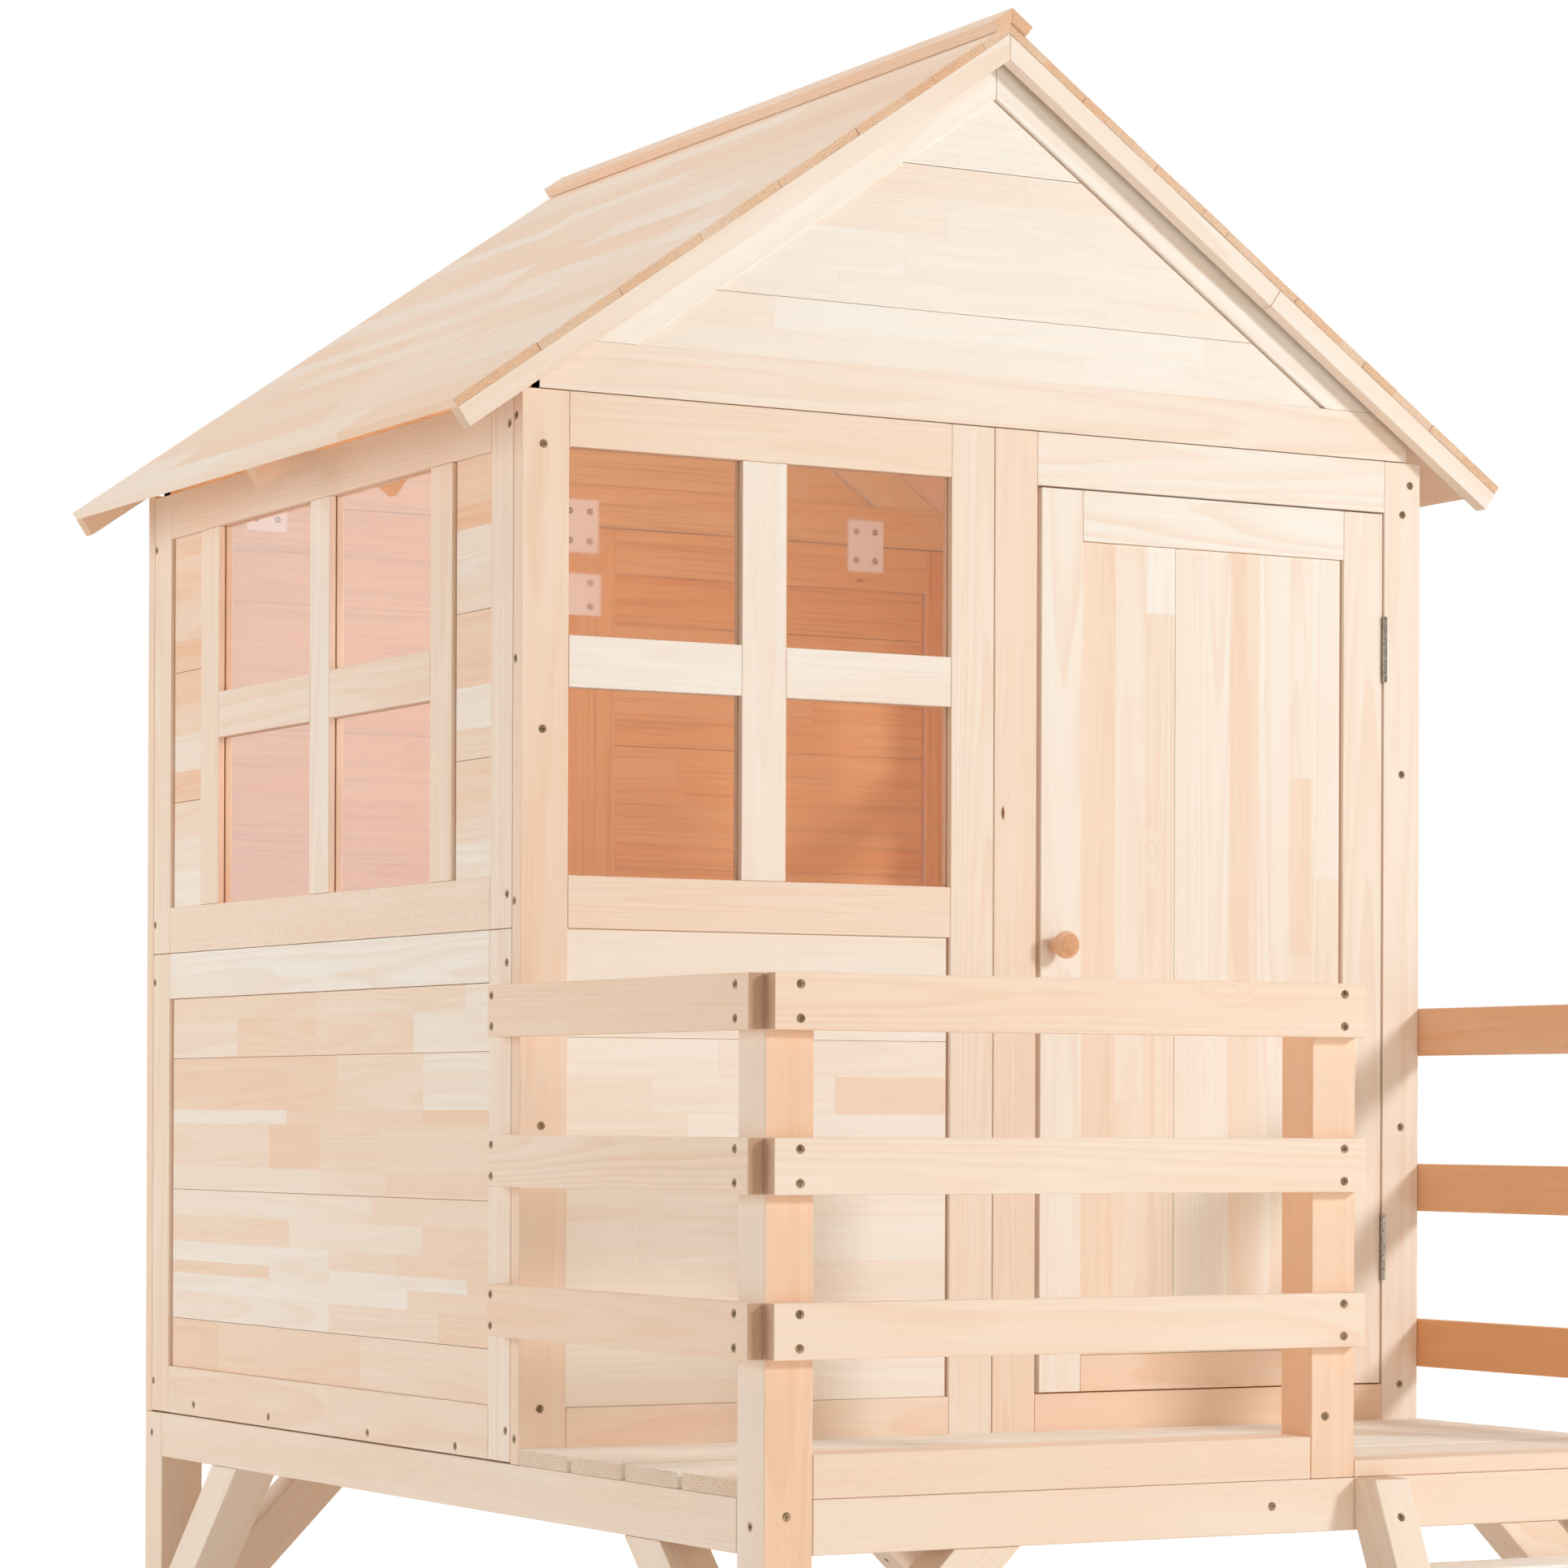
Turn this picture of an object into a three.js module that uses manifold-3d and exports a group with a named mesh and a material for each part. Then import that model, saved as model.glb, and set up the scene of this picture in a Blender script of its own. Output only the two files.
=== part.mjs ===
// Wooden playhouse on legs, with a terrace, rails, a ladder and one hinged door.
import * as THREE from "three";
import { mergeVertices } from "three/addons/utils/BufferGeometryUtils.js";
import Module from "manifold-3d";

const wasm = await Module();
wasm.setup();

// Sizes are in millimetres. X runs to the right along the front wall, Y runs to
// the back and Z runs up. Zero is the front wall's left edge at deck level.

// Main sizes
const house_width = 1213;
const house_depth = 1089;
const terrace_depth = 550;
const deck_height = 600;
const fit_gap = 0.25;
const half = 0.5;

// Timber sizes
const post_size = 56;
const board_thickness = 18;
const wall_thickness = 21;
const infill_thickness = 11;
const member_width = 58;
const join_overlap = 1;

// Walls
const window_sill_height = 627;
const window_head_height = 1097;
const head_rail_height = 61;
const side_wall_drop = 4;
const wall_foot_rail = 61;
const muntin_width = 57;
const side_stile_width = 56;
const side_seam_height = 568.5;
const side_window_width = 620;
const side_window_stile = 57;

// Doorway and door
const hinge_stile_width = 53;
const doorway_head_drop = 1;
const door_side_gap = 6;
const door_hinge_gap = 3;
const door_foot_gap = 1.5;
const door_head_gap = 2;
const door_stile_width = 57;
const door_head_rail = 59;
const door_foot_rail = 42;

// Door knob
const knob_inset = 19;
const knob_height = 563;
const knob_neck_radius = 7;
const knob_base_radius = 10;
const knob_head_radius = 16.5;
const knob_length = 37;
const knob_base_share = 0.08;
const knob_neck_share = 0.32;
const knob_profile_shares = [
  [0.42, 0.62],
  [0.55, 0.9],
  [0.68, 1],
  [0.82, 0.92],
  [0.93, 0.68],
  [0.98, 0.38],
];
const knob_segments = 40;

// Hinges
const lower_hinge_rise = 163.5;
const upper_hinge_drop = 164;
const hinge_length = 79;
const hinge_plate_thickness = 1;
const hinge_plate_depth = 16;
const hinge_barrel_radius = 3;
const hinge_pin_radius = 1.3;
const hinge_pin_clearance = 0.1;
const hinge_barrel_offset = 0.5;
const hinge_knuckles = 5;
const hinge_leaves = 2;
const house_first_knuckle = 0;
const door_first_knuckle = 1;
const hinge_segments = 32;

// Panes
const pane_thickness = 3;
const pane_overlap = 12;
const pane_setback = 9;

// Gables and roof
const roof_pitch = 34.6;
const eaves_rise = 30.6;
const roof_side_overhang = 91.5;
const roof_board_thickness = 10;
const roof_boards_per_side = 7;
const roof_groove_depth = 2;
const roof_groove_width = 3;
const roof_front_overhang = 30;
const roof_back_overhang = 20;
const batten_height = 25;
const batten_width = 19.5;
const gable_rake_width = 57;
const gable_foot_rail = 57;
const cap_board_width = 34;
const cap_board_thickness = 13.5;
const cap_front_overhang = 34;
const cap_back_overhang = 26;

// Terrace
const terrace_board_count = 4;
const terrace_board_gap = 9;
const toe_rail_height = 45;
const terrace_post_height = 505;
const middle_post_offset = 2.5;

// Rails
const rail_height = 57;
const rail_thickness = 19;
const rail_wall_overlap = 42;
const left_rail_heights = [122, 285.5, 449];
const right_rail_heights = [63, 251.5, 440];

// Braces under the deck
const brace_reach = 245;

// Ladder
const ladder_lean = 23.5;
const stringer_width = 44;
const stringer_depth = 52;
const stringer_top_depth = 37;
const ladder_step_count = 3;
const top_step_drop = 111;
const step_depth = 80;
const step_thickness = 21;

// Colours
const pale_pine = 0xf2dcc3;
const warm_pine = 0xe9cfae;
const roof_pine = 0xecd8b8;
const knob_wood = 0xd9ac78;
const pane_tint = 0xf3e4dc;
const hinge_metal = 0xb9b2a6;

// Surfaces
const wood_roughness = 0.7;
const turned_roughness = 0.45;
const metal_roughness = 0.4;
const metal_metalness = 0.9;
const pane_roughness = 0.05;
const pane_opacity = 0.35;
const point_coordinates = 3;
const index_coordinates = 1;

// Derived sizes
const pitch = THREE.MathUtils.degToRad(roof_pitch);
const lean = THREE.MathUtils.degToRad(ladder_lean);
const two_gaps = fit_gap + fit_gap;
const house_centre = house_width * half;
const front_wall_height = window_head_height + head_rail_height;
const side_wall_height = front_wall_height - side_wall_drop;
const side_sill_height = side_seam_height + member_width;
const doorway_head_height = window_head_height - doorway_head_drop;
const eaves_height = front_wall_height + eaves_rise;
const ridge_underside_height = eaves_height + house_centre * Math.tan(pitch);
const roof_half_span = house_centre + roof_side_overhang;
const beam_top = -board_thickness;
const beam_bottom = beam_top - post_size;
const ground = -deck_height;
const wall_foot = beam_top + fit_gap;
const terrace_front = -terrace_depth;
const post_back = terrace_front + post_size;
const rear_post_front = house_depth - post_size;
const infill_recess = (wall_thickness - infill_thickness) * half;
const doorway_left = house_centre + member_width;
const doorway_right = house_width - hinge_stile_width;
const threshold_height = wall_foot_rail + beam_top;
const door_left = doorway_left + door_side_gap;
const door_right = doorway_right - door_hinge_gap;
const door_foot = threshold_height + door_foot_gap;
const door_head = doorway_head_height - door_head_gap;
const hinge_heights = [door_foot + lower_hinge_rise, door_head - upper_hinge_drop];
const hinge_x = (door_right + doorway_right) * half;
const hinge_y = -hinge_barrel_radius - hinge_barrel_offset;
const right_post_left = house_width - post_size;
const middle_post_left = doorway_left - middle_post_offset;
const middle_post_right = middle_post_left + post_size;

// Helpers

// A block between two opposite corners.
function block([x0, x1], [y0, y1], [z0, z1]) {
  const geometry = new THREE.BoxGeometry(x1 - x0, y1 - y0, z1 - z0);
  geometry.translate((x0 + x1) * half, (y0 + y1) * half, (z0 + z1) * half);
  return geometry;
}

function shapeOf(points) {
  return new THREE.Shape(points.map(([u, v]) => new THREE.Vector2(u, v)));
}

function rectangle([u0, u1], [v0, v1]) {
  return [
    [u0, v0],
    [u1, v0],
    [u1, v1],
    [u0, v1],
  ];
}

// A plate that stands along X, with its outline given in X and Z.
function frontPlate(points, [y0, y1]) {
  const settings = { depth: y1 - y0, bevelEnabled: false };
  const geometry = new THREE.ExtrudeGeometry(shapeOf(points), settings);
  geometry.rotateX(Math.PI * half);
  geometry.translate(0, y1, 0);
  return geometry;
}

// A plate that stands along Y, with its outline given in Y and Z.
function sidePlate(points, [x0, x1]) {
  const settings = { depth: x1 - x0, bevelEnabled: false };
  const geometry = new THREE.ExtrudeGeometry(shapeOf(points), settings);
  geometry.rotateX(Math.PI * half);
  geometry.rotateZ(Math.PI * half);
  geometry.translate(x0, 0, 0);
  return geometry;
}

function uprightCylinder(radius, x, y, [z0, z1]) {
  const geometry = new THREE.CylinderGeometry(radius, radius, z1 - z0, hinge_segments);
  geometry.rotateX(Math.PI * half);
  geometry.translate(x, y, (z0 + z1) * half);
  return geometry;
}

function toSolid(geometry) {
  let bare = geometry.clone();
  bare.deleteAttribute("normal");
  bare.deleteAttribute("uv");
  bare = mergeVertices(bare);
  const mesh = new wasm.Mesh({
    numProp: point_coordinates,
    vertProperties: new Float32Array(bare.attributes.position.array),
    triVerts: new Uint32Array(bare.index.array),
  });
  return new wasm.Manifold(mesh);
}

function toGeometry(solid) {
  const mesh = solid.getMesh();
  const geometry = new THREE.BufferGeometry();
  geometry.setAttribute("position", new THREE.BufferAttribute(mesh.vertProperties, point_coordinates));
  geometry.setIndex(new THREE.BufferAttribute(mesh.triVerts, index_coordinates));
  geometry.computeVertexNormals();
  return geometry;
}

function joined(geometries) {
  return geometries.map(toSolid).reduce((whole, next) => whole.add(next));
}

function mirrored(geometry) {
  const sideways = [1, 0, 0];
  const flipped = toSolid(geometry).mirror(sideways).translate([house_width, 0, 0]);
  return toGeometry(flipped);
}

function piece(name, geometry, colour = pale_pine, roughness = wood_roughness) {
  const material = new THREE.MeshStandardMaterial({
    color: colour,
    roughness,
    metalness: 0,
  });
  const mesh = new THREE.Mesh(geometry, material);
  mesh.name = name;
  return mesh;
}

function metalPiece(name, geometry) {
  const mesh = piece(name, geometry, hinge_metal, metal_roughness);
  mesh.material.metalness = metal_metalness;
  return mesh;
}

function panePiece(name, geometry) {
  const mesh = piece(name, geometry, pane_tint, pane_roughness);
  mesh.material.transparent = true;
  mesh.material.opacity = pane_opacity;
  return mesh;
}

// Platform

function legs() {
  const left = [0, post_size];
  const right = [right_post_left, house_width];
  const front = [terrace_front, post_back];
  const back = [rear_post_front, house_depth];
  const tall = [ground, terrace_post_height];
  const short = [ground, beam_top];
  return [
    piece("front_left_leg_and_post", block(left, front, tall)),
    piece("front_right_leg_and_post", block(right, front, tall)),
    piece("rear_left_leg", block(left, back, short)),
    piece("rear_right_leg", block(right, back, short)),
  ];
}

function beams() {
  const height = [beam_bottom, beam_top];
  const side_run = [post_back + fit_gap, rear_post_front - fit_gap];
  const cross_run = [post_size + fit_gap, right_post_left - fit_gap];
  const joist_left = house_centre - post_size * half;
  const joist_width = [joist_left, joist_left + post_size];
  const joist_run = [post_back + fit_gap, rear_post_front + join_overlap];
  const rear_beam = block(cross_run, [rear_post_front, house_depth], height);
  const joist = block(joist_width, joist_run, height);
  return [
    piece("left_beam", block([0, post_size], side_run, height)),
    piece("right_beam", block([right_post_left, house_width], side_run, height)),
    piece("front_beam", block(cross_run, [terrace_front, post_back], height)),
    piece("rear_beam_with_middle_joist", toGeometry(joined([rear_beam, joist]))),
  ];
}

// The outline of a brace in the corner below a beam, measured from the corner.
// direction is 1 where the brace runs away from the leg along the plus side.
function braceOutline(corner, direction) {
  const near = brace_reach - post_size * Math.SQRT2;
  const top = beam_bottom - fit_gap;
  const from_leg = (distance) => corner + direction * (distance + fit_gap);
  return [
    [from_leg(brace_reach), top],
    [from_leg(near), top],
    [from_leg(0), top - near],
    [from_leg(0), top - brace_reach],
  ];
}

function braces() {
  const pieces = [];
  const ends = [
    { name: "front", inner: post_back, plane: [terrace_front, post_back], direction: 1 },
    { name: "rear", inner: rear_post_front, plane: [rear_post_front, house_depth], direction: -1 },
  ];
  const sides = [
    { name: "left", inner: post_size, plane: [0, post_size], direction: 1 },
    { name: "right", inner: right_post_left, plane: [right_post_left, house_width], direction: -1 },
  ];
  for (const end of ends) {
    for (const side of sides) {
      const along_side = braceOutline(end.inner, end.direction);
      const across = braceOutline(side.inner, side.direction);
      const name = end.name + "_" + side.name;
      pieces.push(piece(name + "_side_brace", sidePlate(along_side, side.plane)));
      pieces.push(piece(name + "_cross_brace", frontPlate(across, end.plane)));
    }
  }
  return pieces;
}

function terraceBoards() {
  const pieces = [];
  const usable = -post_back - two_gaps;
  const gaps = terrace_board_gap * (terrace_board_count - 1);
  const width = (usable - gaps) / terrace_board_count;
  for (let index = 0; index < terrace_board_count; index += 1) {
    const back = -fit_gap - index * (width + terrace_board_gap);
    const number = index + 1;
    const board = block([0, house_width], [back - width, back], [wall_foot, 0]);
    pieces.push(piece("terrace_board_" + number, board));
  }
  return pieces;
}

function terraceEdge() {
  const depth = [terrace_front, post_back];
  const toe_run = [post_size + fit_gap, middle_post_left - fit_gap];
  const toe_height = [wall_foot, beam_top + toe_rail_height];
  const entry_run = [middle_post_right + fit_gap, right_post_left - fit_gap];
  const post_run = [middle_post_left, middle_post_right];
  return [
    piece("terrace_toe_rail", block(toe_run, depth, toe_height)),
    piece("entry_threshold_board", block(entry_run, depth, [wall_foot, 0])),
    piece("middle_terrace_post", block(post_run, depth, [wall_foot, terrace_post_height])),
  ];
}

function houseFloor() {
  const inner = wall_thickness + fit_gap;
  const across = [inner, house_width - inner];
  const along = [inner, house_depth - inner];
  return piece("house_floor", block(across, along, [wall_foot, 0]), warm_pine);
}

function rails() {
  const pieces = [];
  const side_run = [terrace_front, rail_wall_overlap];
  const front_depth = [terrace_front - fit_gap - rail_thickness, terrace_front - fit_gap];
  const names = ["lower", "middle", "upper"];
  names.forEach((name, index) => {
    const low = left_rail_heights[index];
    const left_height = [low, low + rail_height];
    const right_low = right_rail_heights[index];
    const right_height = [right_low, right_low + rail_height];
    const left = [-fit_gap - rail_thickness, -fit_gap];
    const right = [house_width + fit_gap, house_width + fit_gap + rail_thickness];
    const front = block([0, middle_post_right], front_depth, left_height);
    pieces.push(piece("left_" + name + "_rail", block(left, side_run, left_height)));
    pieces.push(piece("front_" + name + "_rail", front));
    pieces.push(piece("right_" + name + "_rail", block(right, side_run, right_height)));
  });
  return pieces;
}

// Ladder

function stringerFront(height) {
  const drop = beam_top - height;
  return terrace_front - stringer_top_depth - drop * Math.tan(lean);
}

function ladderStringers() {
  const level_depth = stringer_depth / Math.cos(lean);
  const back_drop = (level_depth - stringer_top_depth - fit_gap) / Math.tan(lean);
  const outline = [
    [terrace_front - fit_gap, beam_top],
    [stringerFront(beam_top), beam_top],
    [stringerFront(ground), ground],
    [stringerFront(ground) + level_depth, ground],
    [terrace_front - fit_gap, beam_top - back_drop],
  ];
  const left = [middle_post_right, middle_post_right + stringer_width];
  const right = [right_post_left - stringer_width, right_post_left];
  return [
    piece("ladder_left_stringer", sidePlate(outline, left)),
    piece("ladder_right_stringer", sidePlate(outline, right)),
  ];
}

function ladderSteps() {
  const pieces = [];
  const rise = (deck_height - top_step_drop) / ladder_step_count;
  const level_depth = stringer_depth / Math.cos(lean);
  const left = middle_post_right + stringer_width + fit_gap;
  const right = right_post_left - stringer_width - fit_gap;
  for (let index = 0; index < ladder_step_count; index += 1) {
    const top = -top_step_drop - rise * index;
    const centre = stringerFront(top - step_thickness * half) + level_depth * half;
    const depth = [centre - step_depth * half, centre + step_depth * half];
    const step = block([left, right], depth, [top - step_thickness, top]);
    const number = ladder_step_count - index;
    pieces.push(piece("ladder_step_" + number, step));
  }
  return pieces;
}

// Walls

// Four lights of one window, as holes in a wall outline.
function windowLights([u0, u1], [v0, v1]) {
  const middle_u = (u0 + u1) * half;
  const middle_v = (v0 + v1) * half;
  const bar = muntin_width * half;
  const columns = [
    [u0, middle_u - bar],
    [middle_u + bar, u1],
  ];
  const rows = [
    [v0, middle_v - bar],
    [middle_v + bar, v1],
  ];
  return columns.flatMap((column) => rows.map((row) => rectangle(column, row)));
}

// A plate with holes through it.
function cutPlate(plate, [near, far], points, holes) {
  const through = [near - join_overlap, far + join_overlap];
  const whole = toSolid(plate(points, [near, far]));
  return holes.reduce((left_over, hole) => left_over.subtract(toSolid(plate(hole, through))), whole);
}

// A framed panel: a plate with thinner boards in some openings, and open lights.
function framedPanel(plate, [near, far], points, filled, lights = []) {
  const frame = cutPlate(plate, [near, far], points, [...lights, ...filled]);
  const inner = [near + infill_recess, far - infill_recess];
  const boards = filled.map((hole) => toSolid(plate(grown(hole), inner)));
  return toGeometry(boards.reduce((whole, board) => whole.add(board), frame));
}

// A rectangle's corners moved outwards, so that the boards reach into the frame.
function grown(corners) {
  const [low, , high] = corners;
  const across = [low[0] - join_overlap, high[0] + join_overlap];
  const up = [low[1] - join_overlap, high[1] + join_overlap];
  return rectangle(across, up);
}

// A box larger than a pane by the fit gap all round: the groove that the pane stands in.
function paneGroove(spans) {
  const [across, along, up] = spans.map(([low, high]) => [low - fit_gap, high + fit_gap]);
  return toSolid(block(across, along, up));
}

function frontWindowPanel() {
  const right = house_centre - fit_gap;
  const outline = rectangle([0, right], [wall_foot, front_wall_height]);
  const inside = [member_width, right - member_width];
  const lights = windowLights(inside, [window_sill_height, window_head_height]);
  const below = [threshold_height, window_sill_height - member_width];
  const depth = [0, wall_thickness];
  const panel = framedPanel(frontPlate, depth, outline, [rectangle(inside, below)], lights);
  const grooved = toSolid(panel).subtract(paneGroove(frontPane()));
  return piece("front_window_panel", toGeometry(grooved));
}

function doorSurroundPanel() {
  const outline = rectangle([house_centre, house_width], [wall_foot, front_wall_height]);
  const doorway = rectangle(
    [doorway_left, doorway_right],
    [threshold_height, doorway_head_height],
  );
  const panel = cutPlate(frontPlate, [0, wall_thickness], outline, [doorway]);
  return piece("door_surround_panel", toGeometry(panel));
}

function rearWallPanels() {
  const depth = [house_depth - wall_thickness, house_depth];
  const names = ["rear_wall_left_panel", "rear_wall_right_panel"];
  return names.map((name, index) => {
    const left = house_centre * index;
    const right = left + house_centre - fit_gap;
    const outline = rectangle([left, right], [wall_foot, front_wall_height]);
    const filled = rectangle(
      [left + member_width, right - member_width],
      [threshold_height, window_head_height],
    );
    return piece(name, framedPanel(frontPlate, depth, outline, [filled]));
  });
}

function sideRun() {
  return [wall_thickness + fit_gap, house_depth - wall_thickness - fit_gap];
}

function lowerSidePanel() {
  const [front, back] = sideRun();
  const outline = rectangle([front, back], [wall_foot, side_seam_height - fit_gap]);
  const filled = rectangle(
    [front + side_stile_width, back - side_stile_width],
    [threshold_height, side_seam_height - fit_gap - member_width],
  );
  return framedPanel(sidePlate, [0, wall_thickness], outline, [filled]);
}

function sideWindow() {
  const centre = house_depth * half;
  const reach = side_window_width * half;
  return [centre - reach, centre + reach];
}

function upperSidePanel() {
  const [front, back] = sideRun();
  const outline = rectangle([front, back], [side_seam_height, side_wall_height]);
  const height = [side_sill_height, window_head_height];
  const window_run = sideWindow();
  const front_fill = [front + side_stile_width, window_run[0] - side_window_stile];
  const back_fill = [window_run[1] + side_window_stile, back - side_stile_width];
  const filled = [rectangle(front_fill, height), rectangle(back_fill, height)];
  const lights = windowLights(window_run, height);
  const panel = framedPanel(sidePlate, [0, wall_thickness], outline, filled, lights);
  return toGeometry(toSolid(panel).subtract(paneGroove(sidePane())));
}

function sideWalls() {
  const lower = lowerSidePanel();
  const upper = upperSidePanel();
  return [
    piece("left_wall_lower_panel", lower),
    piece("left_wall_upper_panel", upper),
    piece("right_wall_lower_panel", mirrored(lower)),
    piece("right_wall_upper_panel", mirrored(upper)),
  ];
}

// A window's clear reach, and as much more as the pane stands in its groove on each side.
function paneReach([low, high]) {
  return [low - pane_overlap, high + pane_overlap];
}

function paneDepth() {
  return [pane_setback, pane_setback + pane_thickness];
}

// The three spans of the front pane: across, in depth and upwards.
function frontPane() {
  const across = [member_width, house_centre - fit_gap - member_width];
  const up = [window_sill_height, window_head_height];
  return [paneReach(across), paneDepth(), paneReach(up)];
}

function sidePane() {
  const up = [side_sill_height, window_head_height];
  return [paneDepth(), paneReach(sideWindow()), paneReach(up)];
}

function panes() {
  const front_pane = block(...frontPane());
  const side_pane = block(...sidePane());
  return [
    panePiece("front_window_pane", front_pane),
    panePiece("left_window_pane", side_pane),
    panePiece("right_window_pane", mirrored(side_pane)),
  ];
}

// Door

function doorLeaf() {
  const outline = rectangle([door_left, door_right], [door_foot, door_head]);
  const filled = rectangle(
    [door_left + door_stile_width, door_right - door_stile_width],
    [door_foot + door_foot_rail, door_head - door_head_rail],
  );
  const leaf = framedPanel(frontPlate, [0, wall_thickness], outline, [filled]);
  return piece("door_leaf", leaf);
}

function doorKnob() {
  const profile = [
    [0, 0],
    [knob_base_radius, 0],
    [knob_base_radius, knob_length * knob_base_share],
    [knob_neck_radius, knob_length * knob_neck_share],
  ];
  for (const [length_share, radius_share] of knob_profile_shares) {
    profile.push([knob_head_radius * radius_share, knob_length * length_share]);
  }
  profile.push([0, knob_length]);
  const points = profile.map(([radius, height]) => new THREE.Vector2(radius, height));
  const knob = new THREE.LatheGeometry(points, knob_segments);
  knob.rotateX(Math.PI);
  const geometry = toGeometry(toSolid(knob));
  const mesh = piece("door_knob", geometry, knob_wood, turned_roughness);
  mesh.position.set(door_left + knob_inset, -fit_gap, knob_height);
  return mesh;
}

// One leaf of a hinge: a plate in the gap beside the door and its own knuckles.
function hingeLeaf(height, plate_left, first_knuckle) {
  const foot = height - hinge_length * half;
  const plate_width = [plate_left, plate_left + hinge_plate_thickness];
  const behind_barrel = hinge_y + hinge_barrel_radius + fit_gap;
  const plate = block(plate_width, [behind_barrel, hinge_plate_depth], [foot, foot + hinge_length]);
  const parts = [plate];
  const knuckle = hinge_length / hinge_knuckles;
  for (let index = first_knuckle; index < hinge_knuckles; index += hinge_leaves) {
    const low = foot + knuckle * index + fit_gap * half;
    const reach = [low, low + knuckle - fit_gap];
    parts.push(uprightCylinder(hinge_barrel_radius, hinge_x, hinge_y, reach));
    parts.push(block(plate_width, [hinge_y, behind_barrel + join_overlap], reach));
  }
  return joined(parts);
}

function hingePin(height, radius) {
  const reach = (hinge_length - two_gaps) * half;
  return toSolid(uprightCylinder(radius, hinge_x, hinge_y, [height - reach, height + reach]));
}

function hinges() {
  const names = ["lower", "upper"];
  const door_plate_left = door_right + fit_gap;
  const house_plate_left = doorway_right - fit_gap - hinge_plate_thickness;
  const bore_radius = hinge_pin_radius + hinge_pin_clearance;
  return names.flatMap((name, index) => {
    const height = hinge_heights[index];
    const house_leaf = hingeLeaf(height, house_plate_left, house_first_knuckle);
    const door_leaf = hingeLeaf(height, door_plate_left, door_first_knuckle);
    const fixed = house_leaf.add(hingePin(height, hinge_pin_radius));
    const moving = door_leaf.subtract(hingePin(height, bore_radius));
    return [
      metalPiece(name + "_hinge_house_leaf", toGeometry(fixed)),
      metalPiece(name + "_hinge_door_leaf", toGeometry(moving)),
    ];
  });
}

// Gables

function gableOutline(rake, foot, foot_inset) {
  const peak = ridge_underside_height - (fit_gap + rake) / Math.cos(pitch);
  const reach = house_centre - wall_thickness - foot_inset;
  const shoulder = peak - reach * Math.tan(pitch);
  if (foot_inset > 0) {
    const low_reach = (peak - foot) / Math.tan(pitch);
    return [
      [house_centre - low_reach, foot],
      [house_centre + low_reach, foot],
      [house_centre, peak],
    ];
  }
  return [
    [house_centre - reach, foot],
    [house_centre + reach, foot],
    [house_centre + reach, shoulder],
    [house_centre, peak],
    [house_centre - reach, shoulder],
  ];
}

function gable(name, depth) {
  const foot = front_wall_height + fit_gap;
  const outline = gableOutline(0, foot, 0);
  const inner_foot = foot + gable_foot_rail;
  const opening = gableOutline(gable_rake_width, inner_foot, member_width);
  const boards = gableOutline(
    gable_rake_width - join_overlap,
    inner_foot - join_overlap,
    member_width,
  );
  const inner = [depth[0] + infill_recess, depth[1] - infill_recess];
  const frame = cutPlate(frontPlate, depth, outline, [opening]);
  const infill = toSolid(frontPlate(boards, inner));
  return piece(name, toGeometry(frame.add(infill)));
}

function gables() {
  return [
    gable("front_gable", [0, wall_thickness]),
    gable("rear_gable", [house_depth - wall_thickness, house_depth]),
  ];
}

// Roof

// A point of the right roof half: along the slope from the ridge, and square to it.
function roofPoint(along, above) {
  const x = house_centre + along * Math.cos(pitch) + above * Math.sin(pitch);
  const z = ridge_underside_height - along * Math.sin(pitch) + above * Math.cos(pitch);
  return [x, z];
}

// The point at the ridge's middle plane, at a height square to the slope.
function ridgePoint(above) {
  return [house_centre + fit_gap * half, ridge_underside_height + above / Math.cos(pitch)];
}

function roofBoardOutline(slope_length) {
  const points = [ridgePoint(0), roofPoint(slope_length, 0)];
  points.push(roofPoint(slope_length, roof_board_thickness));
  const board = slope_length / roof_boards_per_side;
  for (let index = roof_boards_per_side - 1; index > 0; index -= 1) {
    const seam = board * index;
    const side = roof_groove_width * half;
    points.push(roofPoint(seam + side, roof_board_thickness));
    points.push(roofPoint(seam, roof_board_thickness - roof_groove_depth));
    points.push(roofPoint(seam - side, roof_board_thickness));
  }
  points.push(ridgePoint(roof_board_thickness));
  return points;
}

function roofHalf() {
  const slope_length = roof_half_span / Math.cos(pitch);
  const run = [-roof_front_overhang, house_depth + roof_back_overhang];
  const middle = (house_depth - batten_width) * half;
  const batten_starts = [run[0], middle, run[1] - batten_width];
  const outline = [
    ridgePoint(join_overlap),
    ridgePoint(-batten_height),
    roofPoint(slope_length, -batten_height),
    roofPoint(slope_length, join_overlap),
  ];
  const boards = frontPlate(roofBoardOutline(slope_length), run);
  const battens = batten_starts.map((start) => {
    return frontPlate(outline, [start, start + batten_width]);
  });
  return toGeometry(joined([boards, ...battens]));
}

function ridgeCap() {
  const lowest = roof_board_thickness + fit_gap;
  const highest = lowest + cap_board_thickness;
  // The mitre at the ridge takes up the first part of each board's outer face.
  const reach = cap_board_width - highest * Math.tan(pitch);
  const right = [roofPoint(reach, lowest), roofPoint(reach, highest)];
  const left = right.map(([x, z]) => [house_width - x, z]);
  const inner_peak = [house_centre, ridge_underside_height + lowest / Math.cos(pitch)];
  const outer_peak = [house_centre, ridge_underside_height + highest / Math.cos(pitch)];
  const outline = [inner_peak, right[0], right[1], outer_peak, left[1], left[0]];
  const run = [-cap_front_overhang, house_depth + cap_back_overhang];
  return piece("ridge_cap", frontPlate(outline, run), roof_pine);
}

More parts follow.
